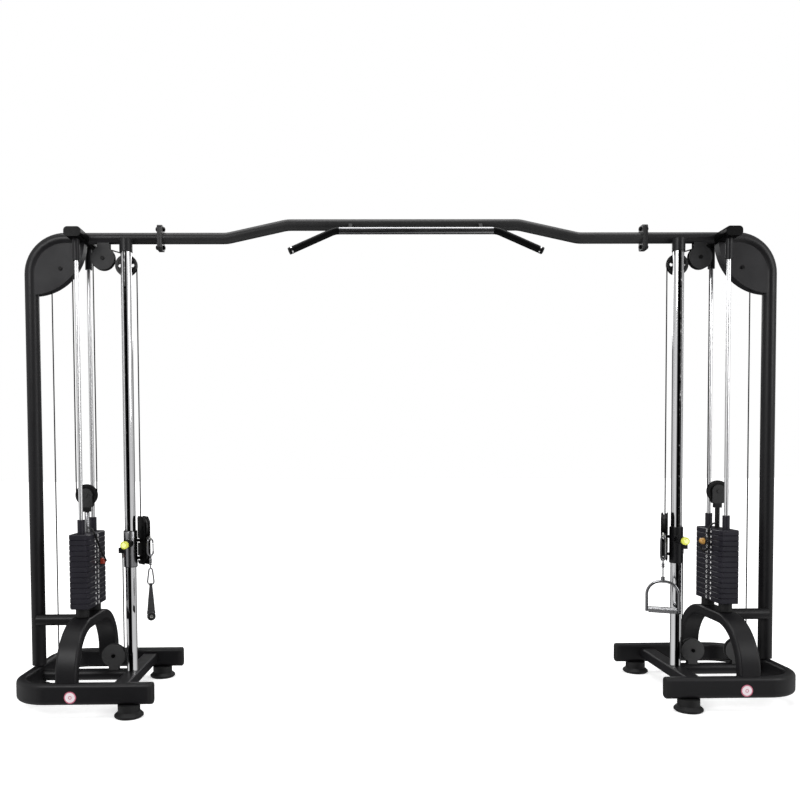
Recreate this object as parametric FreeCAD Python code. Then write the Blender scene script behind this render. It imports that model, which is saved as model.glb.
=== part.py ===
"""Cable crossover machine: two weight towers joined by a raised crossbeam with a pull-up bar.

Millimetres. X runs across the machine, -Y is the side the user stands on, Z is up, and the
origin is on the floor at the middle of the machine. Each tower is made once as a function of
its side, -1 for the left tower and +1 for the right one.
"""

import FreeCAD
import Part
import math
import os

V = FreeCAD.Vector
X_AXIS = V(1, 0, 0)
Y_AXIS = V(0, 1, 0)
Z_AXIS = V(0, 0, 1)
SIDES = {"left": -1, "right": 1}

# ---------------------------------------------------------------- base frame
UPRIGHT_X = 1801.0
UPRIGHT_R = 33.0
TUBE_WALL = 3.0
RAIL_Y = 338.0
RAIL_WIDTH = 50.0
RAIL_TOP = 156.0
RAIL_BOTTOM = 58.0
RAIL_CORNER = 20.0
RAIL_BEND_R = 150.0
RAIL_END_X = 1184.0
CAP_LENGTH = 22.0
CROSS_X = 1332.0
CROSS_WIDTH = 76.0
CROSS_TOP = 132.0
CROSS_BOTTOM = 82.0
SPINE_R = 28.0
SPINE_Z = 105.0
FOOT_X = 1274.0
FOOT_NECK_R = 49.5
FOOT_FLANGE_R = 65.0

# ---------------------------------------------------------------- top frame
BEND_R = 170.0
ARM_R = 27.0
ARM_TOP = 2259.0
ARM_Z = ARM_TOP - 0.5 - ARM_R
UPRIGHT_TOP_Z = ARM_TOP - UPRIGHT_R
ARM_START_X = 1600.0
FLANGE_X = 1176.0
FLANGE_T = 12.0
FLANGE_W = 64.0
FLANGE_H = 121.0
BEAM_LOW_X = 855.0
BEAM_HIGH_X = 564.0
BEAM_HIGH_Z = 2295.5
BEAM_BEND_R = 160.0

# ---------------------------------------------------------------- pull-up bar
BAR_R = 17.0
BAR_Y = -75.0
BAR_MID_X = 57.0
BAR_MID_Z = 2247.0
BAR_BEND_X = 388.0
BAR_END_X = 604.0
BAR_END_Z = 2152.0
BAR_BRACKET_X = 314.0

# ---------------------------------------------------------------- weight stack
STACK_X = 1555.0
ROD_Y = 93.0
ROD_R = 10.0
ROD_TOP = 2204.0
SOCKET_R = 17.0
SOCKET_LOW = 2104.0
HEAD_W = 80.0
HEAD_LOW = 2204.0
HEAD_TOP = 2249.0
HEAD_HALF_Y = 150.0
HEAD_CORNER = 18.0
ARCH_TOP = 407.0
ARCH_T = 50.0
ARCH_W = 98.0
ARCH_LEG_Y = 325.0
ARCH_BEND_R = 225.0
BRACE_R = 27.0
BRACE_Z = 383.0
BRACE_Y = -33.0
BUMPER_R = 31.0
STACK_LOW = 451.7
PLATE_T = 25.0
PLATE_PITCH = 25.3
PLATES = 14
PLATE_CHAMFER = 3.0
PLATE_HALF_X = 51.0
PLATE_HALF_Y = 145.0
LIFTED = {"left": 6, "right": 3}
STEM_R = 11.5
PIN_R = 5.0
KNOB_R = 16.0
FIT = 0.08
COLLAR_TOP = 875.0

# ---------------------------------------------------------------- pulleys and cable
CABLE_R = 3.0
CABLE_RC = 50.0
RIM_R = 53.0
GROOVE_R = 46.4
PULLEY_HALF = 8.0
AXLE_R = 6.0
GUARD_R = 57.0
OUTER_X = 1655.0
OUTER_TOP_Z = 2083.0
BOTTOM_Z = 198.0
INNER_BOTTOM_X = 1434.0
INNER_TOP_X = 1455.0
INNER_TOP_Z = 2136.0
SPOKED_X = 1344.0
SPOKED_Z = 2102.0
FLOAT_Z = 990.0
FLOAT_GUARD_R = 32.0
FLOAT_GUARD_DROP = 60.0
OPENING_R = 9.0

# ---------------------------------------------------------------- column and carriage
COLUMN_X = 1335.0
COLUMN_Y = -38.0
COLUMN_R = 26.0
COLUMN_TOP = 2200.0
COLUMN_SOCKET_LOW = 2157.0
HOLE_TOP_Z = 1983.0
HOLE_PITCH = 153.2
HOLES = 12
HOLE_R = 5.5
SLEEVE_R = 32.0
SLEEVE_LOW = 640.0
SLEEVE_TOP = 818.0
PIN_Z = HOLE_TOP_Z - 8 * HOLE_PITCH
LUG_X = INNER_BOTTOM_X - CABLE_RC
LUG_Z = 706.0
SWIVEL_X = SPOKED_X - CABLE_RC
HINGE_ARMS = ((674.0, 688.0), (760.0, 774.0))
HINGE_R = 6.0
BOSS_R = 12.0
BOSS_END = -125.0
PULL_R = 19.0
PULL_Y = -133.0
PULL_LENGTH = 27.0

# ---------------------------------------------------------------- swivel head, hook and handle
UPPER_Y = -50.0
UPPER_Z = 832.0
LOWER_Y = -56.0
LOWER_Z = 716.0
LOWER_RIM_R = 47.0
CHEEK_IN = 10.0
CHEEK_OUT = 14.0
EXIT_Z = UPPER_Z - CABLE_RC
BALL_Y = -106.0
BALL_R = 12.5
EYE_Y = -126.0
EYE_R = 10.0
EYE_WIRE = 3.0
SWIVEL_TURN = {"left": 34.0, "right": 25.0}
STRAP_TURN = 14.0
LINK_WIRE = 4.0
LINK_TOP_Z = EXIT_Z + 3 - (EYE_R - EYE_WIRE - LINK_WIRE - 0.4)
LINK_HEIGHT = {"left": 88.0, "right": 128.0}
LINK_WIDTH = {"left": 36.0, "right": 30.0}
STUD_R = 3.0
STRAP_RING_Z = 603.0
STRAP_RING_H = 84.0
STRAP_WIDTH = 34.0
BAND_Y = 50.0
GRIP_Z_LEFT = 420.0
GRIP_R_LEFT = 17.0
D_WIDTH = 160.0
D_BEND_R = 66.0
D_GRIP_Z = 421.0
D_TOP_Z = 560.0
BOW_R = 7.0
D_BAR_R = 6.0
D_GRIP_R = 15.0


# ================================================================ helpers
def box(x0, x1, y0, y1, z0, z1):
    low = V(min(x0, x1), min(y0, y1), min(z0, z1))
    return Part.makeBox(abs(x1 - x0), abs(y1 - y0), abs(z1 - z0), low)


def rod(start, end, radius):
    start = V(*start)
    along = V(*end) - start
    return Part.makeCylinder(radius, along.Length, start, along)


def tube(start, end, radius, bore):
    return rod(start, end, radius).cut(rod(start, end, bore))


def join(shapes):
    whole = shapes[0].multiFuse(shapes[1:]) if len(shapes) > 1 else shapes[0]
    return whole.removeSplitter()


def trim(shape, tools):
    return shape.cut(Part.makeCompound(tools))


def bent_path(points, radii):
    """A wire of straight runs with a tangent arc of the given radius at each inner point."""
    points = [V(*p) for p in points]
    edges = []
    start = points[0]
    for i in range(1, len(points) - 1):
        before = (points[i - 1] - points[i]).normalize()
        after = (points[i + 1] - points[i]).normalize()
        half = before.getAngle(after) / 2
        back = radii[i - 1] / math.tan(half)
        enter = points[i] + before * back
        leave = points[i] + after * back
        bisector = (before + after).normalize()
        centre = points[i] + bisector * (radii[i - 1] / math.sin(half))
        middle = centre - bisector * radii[i - 1]
        if (enter - start).Length > 1e-6:
            edges.append(Part.LineSegment(start, enter).toShape())
        edges.append(Part.Arc(enter, middle, leave).toShape())
        start = leave
    edges.append(Part.LineSegment(start, points[-1]).toShape())
    return Part.Wire(edges)


def sweep_round(path, radius):
    first = path.Edges[0]
    begin = first.valueAt(first.FirstParameter)
    along = first.tangentAt(first.FirstParameter)
    ring = Part.Wire([Part.makeCircle(radius, begin, along)])
    return path.makePipeShell([ring], True, False)


def round_rect(width, height, corner):
    """A closed rounded rectangle about the origin, in the local X and Y directions."""
    w = width / 2
    h = height / 2
    k = corner * (1 - math.sqrt(0.5))
    side = [V(w, -h + corner, 0), V(w, h - corner, 0)]
    edges = []
    for turn in range(4):
        a, b = side
        if turn % 2:
            a = V(h, -w + corner, 0)
            b = V(h, w - corner, 0)
        nxt = V(b.x - corner, b.y + corner, 0)
        mid = V(b.x - k, b.y + corner - k, 0)
        piece = [Part.Arc(b, mid, nxt).toShape()]
        if (b - a).Length > 1e-6:
            piece.insert(0, Part.LineSegment(a, b).toShape())
        for edge in piece:
            edge.rotate(V(0, 0, 0), Z_AXIS, 90 * turn)
        edges += piece
    return Part.Wire(edges)


def bar_along_x(x0, x1, y, z, width_y, height_z, corner):
    face = Part.Face(round_rect(width_y, height_z, corner))
    face.rotate(V(0, 0, 0), X_AXIS, 90)
    face.rotate(V(0, 0, 0), Z_AXIS, 90)
    face.translate(V(x0, y, z))
    return face.extrude(V(x1 - x0, 0, 0))


def bar_along_y(x, y0, y1, z, width_x, height_z, corner):
    face = Part.Face(round_rect(width_x, height_z, corner))
    face.rotate(V(0, 0, 0), X_AXIS, 90)
    face.translate(V(x, y0, z))
    return face.extrude(V(0, y1 - y0, 0))


def plate_xz(points, y0, y1):
    """A flat plate whose outline is drawn in X and Z, between two Y planes."""
    wire = Part.makePolygon([V(x, y0, z) for x, z in points + points[:1]])
    return Part.Face(wire).extrude(V(0, y1 - y0, 0))


def plate_yz(points, x0, x1):
    wire = Part.makePolygon([V(x0, y, z) for y, z in points + points[:1]])
    return Part.Face(wire).extrude(V(x1 - x0, 0, 0))


def ring(centre, normal, major, wire):
    return Part.makeTorus(major, wire, V(*centre), V(*normal))


def oval_link(centre, width, height, wire, turn):
    """A closed link of round wire, upright, its flat side facing -Y before it is turned."""
    r = width / 2 - wire
    half = height / 2 - wire - r
    top = V(0, 0, half)
    low = V(0, 0, -half)
    edges = [
        Part.LineSegment(low + V(r, 0, 0), top + V(r, 0, 0)).toShape(),
        Part.Arc(top + V(r, 0, 0), top + V(0, 0, r), top - V(r, 0, 0)).toShape(),
        Part.LineSegment(top - V(r, 0, 0), low - V(r, 0, 0)).toShape(),
        Part.Arc(low - V(r, 0, 0), low - V(0, 0, r), low + V(r, 0, 0)).toShape(),
    ]
    path = Part.Wire(edges)
    section = Part.Wire([Part.makeCircle(wire, low + V(r, 0, 0), Z_AXIS)])
    link = path.makePipeShell([section], True, False)
    link.rotate(V(0, 0, 0), Z_AXIS, turn)
    link.translate(V(*centre))
    return link


def mirrored(shape):
    return shape.mirror(V(0, 0, 0), X_AXIS)


def solid_of(shape):
    solids = shape.Solids
    if len(solids) == 1:
        return solids[0]
    return shape


def export(name, shapes):
    if not isinstance(shapes, list):
        shapes = [shapes]
    solids = []
    for shape in shapes:
        for solid in shape.Solids:
            if solid.Volume < 0:
                solid.reverse()
            if not solid.isValid():
                print("invalid", name)
            solids.append(solid)
    whole = solids[0] if len(solids) == 1 else Part.makeCompound(solids)
    whole.exportStep(os.path.join("parts", name + ".step"))


# ================================================================ tower frame
def upright_solids(s):
    """The bent upright, its top arm and flange, the guide rod head and the column socket."""
    points = [(s * UPRIGHT_X, 0, RAIL_TOP), (s * UPRIGHT_X, 0, UPRIGHT_TOP_Z)]
    points.append((s * (ARM_START_X - 8), 0, UPRIGHT_TOP_Z))
    path = bent_path(points, [BEND_R])
    post = sweep_round(path, UPRIGHT_R)
    arm = rod((s * ARM_START_X, 0, ARM_Z), (s * (FLANGE_X + FLANGE_T), 0, ARM_Z), ARM_R)
    inner = s * (FLANGE_X + 0.0)
    flange = bar_along_x(inner, inner + s * FLANGE_T, 0, ARM_Z, FLANGE_W, FLANGE_H, 14)
    middle = (HEAD_LOW + HEAD_TOP) / 2
    head = bar_along_y(s * STACK_X, -HEAD_HALF_Y, HEAD_HALF_Y, middle, HEAD_W, HEAD_TOP - HEAD_LOW, HEAD_CORNER)
    socket = rod((s * COLUMN_X, COLUMN_Y, COLUMN_SOCKET_LOW), (s * COLUMN_X, COLUMN_Y, 2216), 31)
    solids = [post, arm, flange, head, socket]
    for y in (-ROD_Y, ROD_Y):
        solids.append(rod((s * STACK_X, y, SOCKET_LOW), (s * STACK_X, y, HEAD_LOW + 3), SOCKET_R))
    outer = join(solids)
    hollow = [sweep_round(path, UPRIGHT_R - TUBE_WALL)]
    hollow.append(rod((s * (ARM_START_X + 4), 0, ARM_Z), (s * (FLANGE_X + FLANGE_T), 0, ARM_Z), ARM_R - 3))
    hollow.append(rod((s * COLUMN_X, COLUMN_Y, 2140), (s * COLUMN_X, COLUMN_Y, COLUMN_TOP), COLUMN_R))
    for y in (-ROD_Y, ROD_Y):
        hollow.append(rod((s * STACK_X, y, SOCKET_LOW - 5), (s * STACK_X, y, ROD_TOP), ROD_R))
        front = -HEAD_HALF_Y + 4 if y < 0 else 36
        hollow.append(box(s * (STACK_X - 36), s * (STACK_X + 36), front, front + 110, HEAD_LOW + 4, HEAD_TOP - 4))
    for z in (-44, 44):
        low = (inner - s * 5, 0, ARM_Z + z)
        hollow.append(rod(low, (inner + s * 30, 0, ARM_Z + z), 6.5))
    return solid_of(trim(outer, hollow))


def upright_outline(s):
    """The outer skin of the bent upright and arm, for shaping what is fitted against it."""
    points = [(s * UPRIGHT_X, 0, RAIL_TOP), (s * UPRIGHT_X, 0, UPRIGHT_TOP_Z)]
    points.append((s * (ARM_START_X - 8), 0, UPRIGHT_TOP_Z))
    post = sweep_round(bent_path(points, [BEND_R]), UPRIGHT_R)
    arm = rod((s * ARM_START_X, 0, ARM_Z), (s * FLANGE_X, 0, ARM_Z), ARM_R)
    head = box(s * (STACK_X - 40), s * (STACK_X + 40), -HEAD_HALF_Y, HEAD_HALF_Y, HEAD_LOW, HEAD_TOP)
    return [post, arm, head]


def crossbeam_solid():
    points = []
    for x, z in ((FLANGE_X, ARM_Z), (BEAM_LOW_X, ARM_Z), (BEAM_HIGH_X, BEAM_HIGH_Z)):
        points.append((-x, 0, z))
    points += [(-x, y, z) for x, y, z in reversed(points)]
    path = bent_path(points, [BEAM_BEND_R] * 4)
    beam = sweep_round(path, ARM_R)
    parts = [beam]
    for s in (-1, 1):
        x = s * FLANGE_X
        parts.append(bar_along_x(x - s * FLANGE_T, x - s * 0.2, 0, ARM_Z, FLANGE_W, FLANGE_H, 14))
    hollow = [sweep_round(path, ARM_R - TUBE_WALL)]
    for s in (-1, 1):
        for z in (-44, 44):
            hollow.append(rod((s * 1150, 0, ARM_Z + z), (s * 1190, 0, ARM_Z + z), 6.5))
        hollow.append(box(s * (FLANGE_X - 0.2), s * (FLANGE_X + 5), -60, 60, 2100, 2350))
    return solid_of(trim(join(parts), hollow))


def flange_bolts():
    bolts = []
    for s in (-1, 1):
        for z in (-44, 44):
            x = FLANGE_X
            at = ARM_Z + z
            shank = rod((s * (x - 22), 0, at), (s * (x + 24), 0, at), 6)
            bolts.append(join([shank, hexagon(s * (x - FLANGE_T - 8), at, s * 8), hexagon(s * (x + FLANGE_T), at, s * 10)]))
    return bolts


def hexagon(x, z, length):
    points = []
    for k in range(7):
        angle = math.radians(60 * k)
        points.append(V(x, 10.5 * math.cos(angle), z + 10.5 * math.sin(angle)))
    return Part.Face(Part.makePolygon(points)).extrude(V(length, 0, 0))


def pull_up_bar_solid():
    points = [
        (BAR_MID_X - BAR_END_X, BAR_Y, BAR_END_Z),
        (BAR_MID_X - BAR_BEND_X, BAR_Y, BAR_MID_Z),
        (BAR_MID_X + BAR_BEND_X, BAR_Y, BAR_MID_Z),
        (BAR_MID_X + BAR_END_X, BAR_Y, BAR_END_Z),
    ]
    bar = sweep_round(bent_path(points, [90, 90]), BAR_R)
    beam = rod((-BEAM_HIGH_X + 20, 0, BEAM_HIGH_Z), (BEAM_HIGH_X - 20, 0, BEAM_HIGH_Z), ARM_R)
    parts = [bar]
    for s in (-1, 1):
        x = BAR_MID_X + s * BAR_BRACKET_X
        outline = [(BAR_Y + 4, BAR_MID_Z - 8), (BAR_Y + 4, BAR_MID_Z + 12), (-12, BEAM_HIGH_Z + 14)]
        outline += [(-12, BEAM_HIGH_Z - 22)]
        parts.append(plate_yz(outline, x - 9, x + 9).cut(beam))
    return solid_of(join(parts))


def rail_path(s, inner_x):
    points = [
        (s * inner_x, -RAIL_Y, 0),
        (s * UPRIGHT_X, -RAIL_Y, 0),
        (s * UPRIGHT_X, RAIL_Y, 0),
        (s * inner_x, RAIL_Y, 0),
    ]
    points = [(x, y, (RAIL_TOP + RAIL_BOTTOM) / 2) for x, y, z in points]
    return bent_path(points, [RAIL_BEND_R, RAIL_BEND_R])


def sweep_rail(path, s, wall):
    height = RAIL_TOP - RAIL_BOTTOM - 2 * wall
    section = round_rect(RAIL_WIDTH - 2 * wall, height, RAIL_CORNER - wall)
    section.rotate(V(0, 0, 0), X_AXIS, 90)
    section.rotate(V(0, 0, 0), Z_AXIS, 90)
    begin = path.Edges[0].valueAt(path.Edges[0].FirstParameter)
    section.translate(begin)
    return path.makePipeShell([section], True, False)


def base_solid(s):
    """The U-shaped floor rail with the cross member under the column and the central spine."""
    path = rail_path(s, RAIL_END_X)
    rail = sweep_rail(path, s, 0)
    middle = (CROSS_TOP + CROSS_BOTTOM) / 2
    height = CROSS_TOP - CROSS_BOTTOM
    cross = bar_along_y(s * CROSS_X, -RAIL_Y, RAIL_Y, middle, CROSS_WIDTH, height, 10)
    spine = rod((s * CROSS_X, 0, SPINE_Z), (s * UPRIGHT_X, 0, SPINE_Z), SPINE_R)
    outer = join([rail, cross, spine])
    hollow = [sweep_rail(path, s, TUBE_WALL)]
    y = RAIL_Y - RAIL_WIDTH / 2
    hollow.append(bar_along_y(s * CROSS_X, -y, y, middle, CROSS_WIDTH - 6, height - 6, 7))
    ends = (s * (CROSS_X + CROSS_WIDTH / 2), s * (UPRIGHT_X - RAIL_WIDTH / 2))
    hollow.append(rod((ends[0], 0, SPINE_Z), (ends[1], 0, SPINE_Z), SPINE_R - 3))
    return solid_of(trim(outer, hollow))


def rail_end_caps():
    caps = []
    height = RAIL_TOP - RAIL_BOTTOM
    for s in (-1, 1):
        for y in (-RAIL_Y, RAIL_Y):
            end = s * RAIL_END_X
            cap = bar_along_x(end, end - s * CAP_LENGTH, y, RAIL_BOTTOM + height / 2, RAIL_WIDTH, height, RAIL_CORNER)
            outer = []
            for edge in cap.Edges:
                box_of = edge.BoundBox
                if box_of.XLength < 1e-6 and abs(box_of.XMin - (end - s * CAP_LENGTH)) < 1e-6:
                    outer.append(edge)
            cap = cap.makeFillet(8, outer)
            plug = bar_along_x(end, end + s * 30, y, RAIL_BOTTOM + height / 2, RAIL_WIDTH - 6, height - 6, RAIL_CORNER - 3)
            caps.append(join([cap, plug]))
    return caps


def foot(x, y):
    points = [(0, 0), (58, 0), (FOOT_FLANGE_R, 6), (FOOT_FLANGE_R, 13), (58, 20)]
    points += [(FOOT_NECK_R, 27), (FOOT_NECK_R, RAIL_BOTTOM), (0, RAIL_BOTTOM)]
    wire = Part.makePolygon([V(r, 0, z) for r, z in points + points[:1]])
    shape = Part.Face(wire).revolve(V(0, 0, 0), Z_AXIS, 360)
    shape.translate(V(x, y, 0))
    return shape


def arch_solid(s):
    """The arch that carries the guide rods and the stack, with its brace to the upright."""
    low = RAIL_TOP - 30
    top = ARCH_TOP - ARCH_T / 2
    x = s * STACK_X
    points = [(x, -ARCH_LEG_Y, low), (x, -ARCH_LEG_Y, top), (x, ARCH_LEG_Y, top), (x, ARCH_LEG_Y, low)]
    path = bent_path(points, [ARCH_BEND_R, ARCH_BEND_R])
    shapes = []
    for wall in (0, TUBE_WALL):
        section = round_rect(ARCH_W - 2 * wall, ARCH_T - 2 * wall, 12 - wall)
        section.translate(V(x, -ARCH_LEG_Y, low))
        shapes.append(path.makePipeShell([section], True, False))
    outer, inner = shapes
    brace = rod((s * (STACK_X + 30), BRACE_Y, BRACE_Z), (s * (UPRIGHT_X - 8), BRACE_Y, BRACE_Z), BRACE_R)
    post = rod((s * UPRIGHT_X, 0, 100), (s * UPRIGHT_X, 0, 600), UPRIGHT_R)
    outer = join([outer, brace]).cut(post)
    hollow = [inner]
    hollow.append(rod((s * (STACK_X + 47), BRACE_Y, BRACE_Z), (s * (UPRIGHT_X - 34), BRACE_Y, BRACE_Z), BRACE_R - 3))
    rails = [bar_along_x(s * 1300, s * 1700, y, 107, RAIL_WIDTH, 98, RAIL_CORNER) for y in (-RAIL_Y, RAIL_Y)]
    for y in (-ROD_Y, ROD_Y):
        hollow.append(rod((x, y, ARCH_TOP - 60), (x, y, ARCH_TOP + 1), ROD_R))
    return solid_of(trim(outer, hollow + rails))


def column_solid(s):
    """The plated column, with one adjustment hole at each height in its front wall."""
    low = (s * COLUMN_X, COLUMN_Y, CROSS_TOP)
    top = (s * COLUMN_X, COLUMN_Y, COLUMN_TOP)
    shape = tube(low, top, COLUMN_R, COLUMN_R - TUBE_WALL)
    holes = []
    for k in range(HOLES):
        z = HOLE_TOP_Z - k * HOLE_PITCH
        holes.append(rod((s * COLUMN_X, COLUMN_Y, z), (s * COLUMN_X, COLUMN_Y - 40, z), HOLE_R))
    return solid_of(trim(shape, holes))


def bend_cover_solid(s):
    """The half-moon housing in the corner of the upright, round the outer top pulley."""
    arc = Part.Arc(V(s * 1790, 0, 1957), V(s * 1618, 0, 2030), V(s * 1538, 0, 2215)).toShape()
    corner = V(s * 1790, 0, 2215)
    edges = [arc, Part.makeLine(V(s * 1538, 0, 2215), corner), Part.makeLine(corner, V(s * 1790, 0, 1957))]
    face = Part.Face(Part.Wire(edges))
    face.translate(V(0, -25, 0))
    outer = face.extrude(V(0, 50, 0))
    arc = Part.Arc(V(s * 1795, 0, 1961), V(s * 1621, 0, 2033), V(s * 1541, 0, 2220)).toShape()
    corner = V(s * 1795, 0, 2220)
    edges = [arc, Part.makeLine(V(s * 1541, 0, 2220), corner), Part.makeLine(corner, V(s * 1795, 0, 1961))]
    face = Part.Face(Part.Wire(edges))
    face.translate(V(0, -22, 0))
    inner = face.extrude(V(0, 44, 0))
    tools = upright_outline(s) + [inner]
    axle = (s * OUTER_X, -30, OUTER_TOP_Z), (s * OUTER_X, 30, OUTER_TOP_Z)
    tools.append(rod(*axle, AXLE_R))
    for x in (OUTER_X - CABLE_RC, OUTER_X + CABLE_RC):
        tools.append(rod((s * x, 0, 1940), (s * x, 0, 2080), 8))
    shape = trim(outer, tools)
    return max(shape.Solids, key=lambda solid: solid.Volume)


def guard_plate(s, x, z, y, anchor_x, anchor_z, half):
    """One side of a pulley guard: a disc with a neck that runs to the frame."""
    disc = rod((s * x, y, z), (s * x, y + 4, z), GUARD_R)
    neck = box(s * (anchor_x - half), s * (anchor_x + half), y, y + 4, z, anchor_z)
    return join([disc, neck])


def top_guards(s):
    pieces = []
    tools = upright_outline(s)
    for y in (-15, 11):
        plate = guard_plate(s, INNER_TOP_X, INNER_TOP_Z, y, INNER_TOP_X - 4, 2222, 30)
        hole = rod((s * INNER_TOP_X, -40, INNER_TOP_Z), (s * INNER_TOP_X, 40, INNER_TOP_Z), AXLE_R)
        pieces.append(solid_of(trim(plate, tools + [hole])))
    plate = plate_xz([(s * 1322, 2222), (s * 1366, 2222), (s * 1360, 2086), (s * 1328, 2086)], 11, 15)
    hole = rod((s * SPOKED_X, -40, SPOKED_Z), (s * SPOKED_X, 40, SPOKED_Z), AXLE_R)
    pieces.append(solid_of(trim(plate, tools + [hole])))
    return pieces


def bottom_guards(s):
    pieces = []
    spine = rod((s * 1300, 0, SPINE_Z), (s * 1800, 0, SPINE_Z), SPINE_R)
    for x in (INNER_BOTTOM_X, OUTER_X):
        for y in (-15, 11):
            plate = guard_plate(s, x, BOTTOM_Z, y, x, 116, 24)
            hole = rod((s * x, -40, BOTTOM_Z), (s * x, 40, BOTTOM_Z), AXLE_R)
            pieces.append(solid_of(trim(plate, [spine, hole])))
    return pieces


def axle_bolt(x, z, y0, y1):
    shank = rod((x, y0, z), (x, y1, z), AXLE_R)
    head = rod((x, y0 - 5, z), (x, y0, z), 9)
    nut = rod((x, y1, z), (x, y1 + 5, z), 9)
    return join([shank, head, nut])


def pulley_axles(s):
    places = [(INNER_TOP_X, INNER_TOP_Z), (INNER_BOTTOM_X, BOTTOM_Z), (OUTER_X, BOTTOM_Z)]
    bolts = [axle_bolt(s * x, z, -15, 15) for x, z in places]
    bolts.append(axle_bolt(s * OUTER_X, OUTER_TOP_Z, -25, 25))
    shank = rod((s * SPOKED_X, -8, SPOKED_Z), (s * SPOKED_X, 15, SPOKED_Z), AXLE_R)
    bolts.append(join([shank, rod((s * SPOKED_X, 15, SPOKED_Z), (s * SPOKED_X, 20, SPOKED_Z), 9)]))
    return bolts


# ================================================================ pulleys
def pulley(x, y, z, rim, half, holes, axis):
    """A grooved pulley with a plain bore and, where it shows, a ring of round openings."""
    groove = rim - (RIM_R - GROOVE_R)
    bore = AXLE_R + FIT
    points = [(bore, -half), (20, -half), (22, -half + 2), (groove - 8, -half + 2), (groove - 6, -half)]
    points += [(rim, -half), (rim, -5.5), (groove, -3.6), (groove, 3.6), (rim, 5.5), (rim, half)]
    points += [(groove - 6, half), (groove - 8, half - 2), (22, half - 2), (20, half), (bore, half)]
    wire = Part.makePolygon([V(r, t, 0) for r, t in points + points[:1]])
    shape = Part.Face(wire).revolve(V(0, 0, 0), Y_AXIS, 360)
    tools = []
    for k in range(holes):
        angle = 2 * math.pi * k / holes
        at = V(30.5 * math.cos(angle), -20, 30.5 * math.sin(angle))
        tools.append(Part.makeCylinder(OPENING_R, 40, at, Y_AXIS))
    if tools:
        shape = trim(shape, tools)
    if axis == "x":
        shape.rotate(V(0, 0, 0), Z_AXIS, 90)
    shape.translate(V(x, y, z))
    return solid_of(shape)


# ================================================================ weight stack
def plate_outline():
    hx = PLATE_HALF_X
    hy = PLATE_HALF_Y
    corners = [(hx, -hy + 28), (hx, hy - 28), (hx - 13, hy), (-hx + 13, hy)]
    corners += [(-x, -y) for x, y in corners]
    return corners


def weight_plate(s, index, extra):
    """One plate with its guide rod holes, its stem bore and its selector hole."""
    low = STACK_LOW + index * PLATE_PITCH
    corners = [V(s * STACK_X + x, y, low) for x, y in plate_outline()]
    shape = Part.Face(Part.makePolygon(corners + corners[:1])).extrude(V(0, 0, PLATE_T))
    rims = []
    for edge in shape.Edges:
        span = edge.BoundBox
        if span.ZLength < 1e-6:
            rims.append(edge)
    shape = shape.makeChamfer(PLATE_CHAMFER, rims)
    if extra:
        shape = join([shape] + extra)
    tools = []
    for y in (-ROD_Y, ROD_Y):
        bore = ROD_R + FIT if extra else ROD_R + 0.8
        tools.append(rod((s * STACK_X, y, low - 5), (s * STACK_X, y, COLLAR_TOP + 5), bore))
    stem_bore = STEM_R if index == PLATES - 1 else STEM_R + 1
    tools.append(rod((s * STACK_X, 0, low - 5), (s * STACK_X, 0, low + PLATE_T + 5), stem_bore))
    middle = low + PLATE_T / 2
    tools.append(rod((s * STACK_X, 0, middle), (s * (STACK_X - 60), 0, middle), PIN_R + FIT))
    return solid_of(trim(shape, tools))


def resting_plates(s, lifted):
    return [weight_plate(s, i, []) for i in range(PLATES - lifted)]


def lifted_plates(s, lifted):
    plates = [weight_plate(s, i, []) for i in range(PLATES - lifted, PLATES - 1)]
    top = STACK_LOW + (PLATES - 1) * PLATE_PITCH + PLATE_T
    collars = []
    for y in (-ROD_Y, ROD_Y):
        collars.append(rod((s * STACK_X, y, top - 5), (s * STACK_X, y, COLLAR_TOP), SOCKET_R))
    plates.append(weight_plate(s, PLATES - 1, collars))
    return plates


def pin_height(lifted):
    return STACK_LOW + (PLATES - lifted) * PLATE_PITCH + PLATE_T / 2


def stem_solid(s):
    """The drilled selector stem, topped by the fork that holds the floating pulley."""
    x = s * STACK_X
    stem = rod((x, 0, STACK_LOW + 4), (x, 0, 926), STEM_R)
    block = box(x - 16, x + 16, -16, 16, 908, 932)
    parts = [stem, block]
    for y in (-16, 11):
        half = FLOAT_GUARD_R - 1
        low = FLOAT_Z - FLOAT_GUARD_DROP
        outline = [(x - half, FLOAT_Z), (x - half, low + 8), (x - half + 8, low), (x + half - 8, low)]
        outline += [(x + half, low + 8), (x + half, FLOAT_Z)]
        parts.append(plate_xz(outline, y, y + 5))
        parts.append(rod((x, y, FLOAT_Z), (x, y + 5, FLOAT_Z), FLOAT_GUARD_R))
    shape = join(parts + [axle_bolt(x, FLOAT_Z, -16, 16)])
    tools = []
    for index in range(PLATES):
        z = STACK_LOW + index * PLATE_PITCH + PLATE_T / 2
        tools.append(rod((x - 20, 0, z), (x + 20, 0, z), PIN_R + FIT))
    return solid_of(trim(shape, tools))


def selector_pin(s, lifted):
    z = pin_height(lifted)
    face = STACK_X - PLATE_HALF_X
    shank = rod((s * (STACK_X + 9), 0, z), (s * (face - 4), 0, z), PIN_R)
    collar = rod((s * (face - 2), 0, z), (s * (face - 8), 0, z), 9)
    knob = rod((s * (face - 8), 0, z), (s * (face - 36), 0, z), KNOB_R)
    rims = [e for e in knob.Edges if e.BoundBox.XLength < 1e-6]
    knob = knob.makeFillet(6, rims)
    return join([shank, collar, knob])


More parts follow.
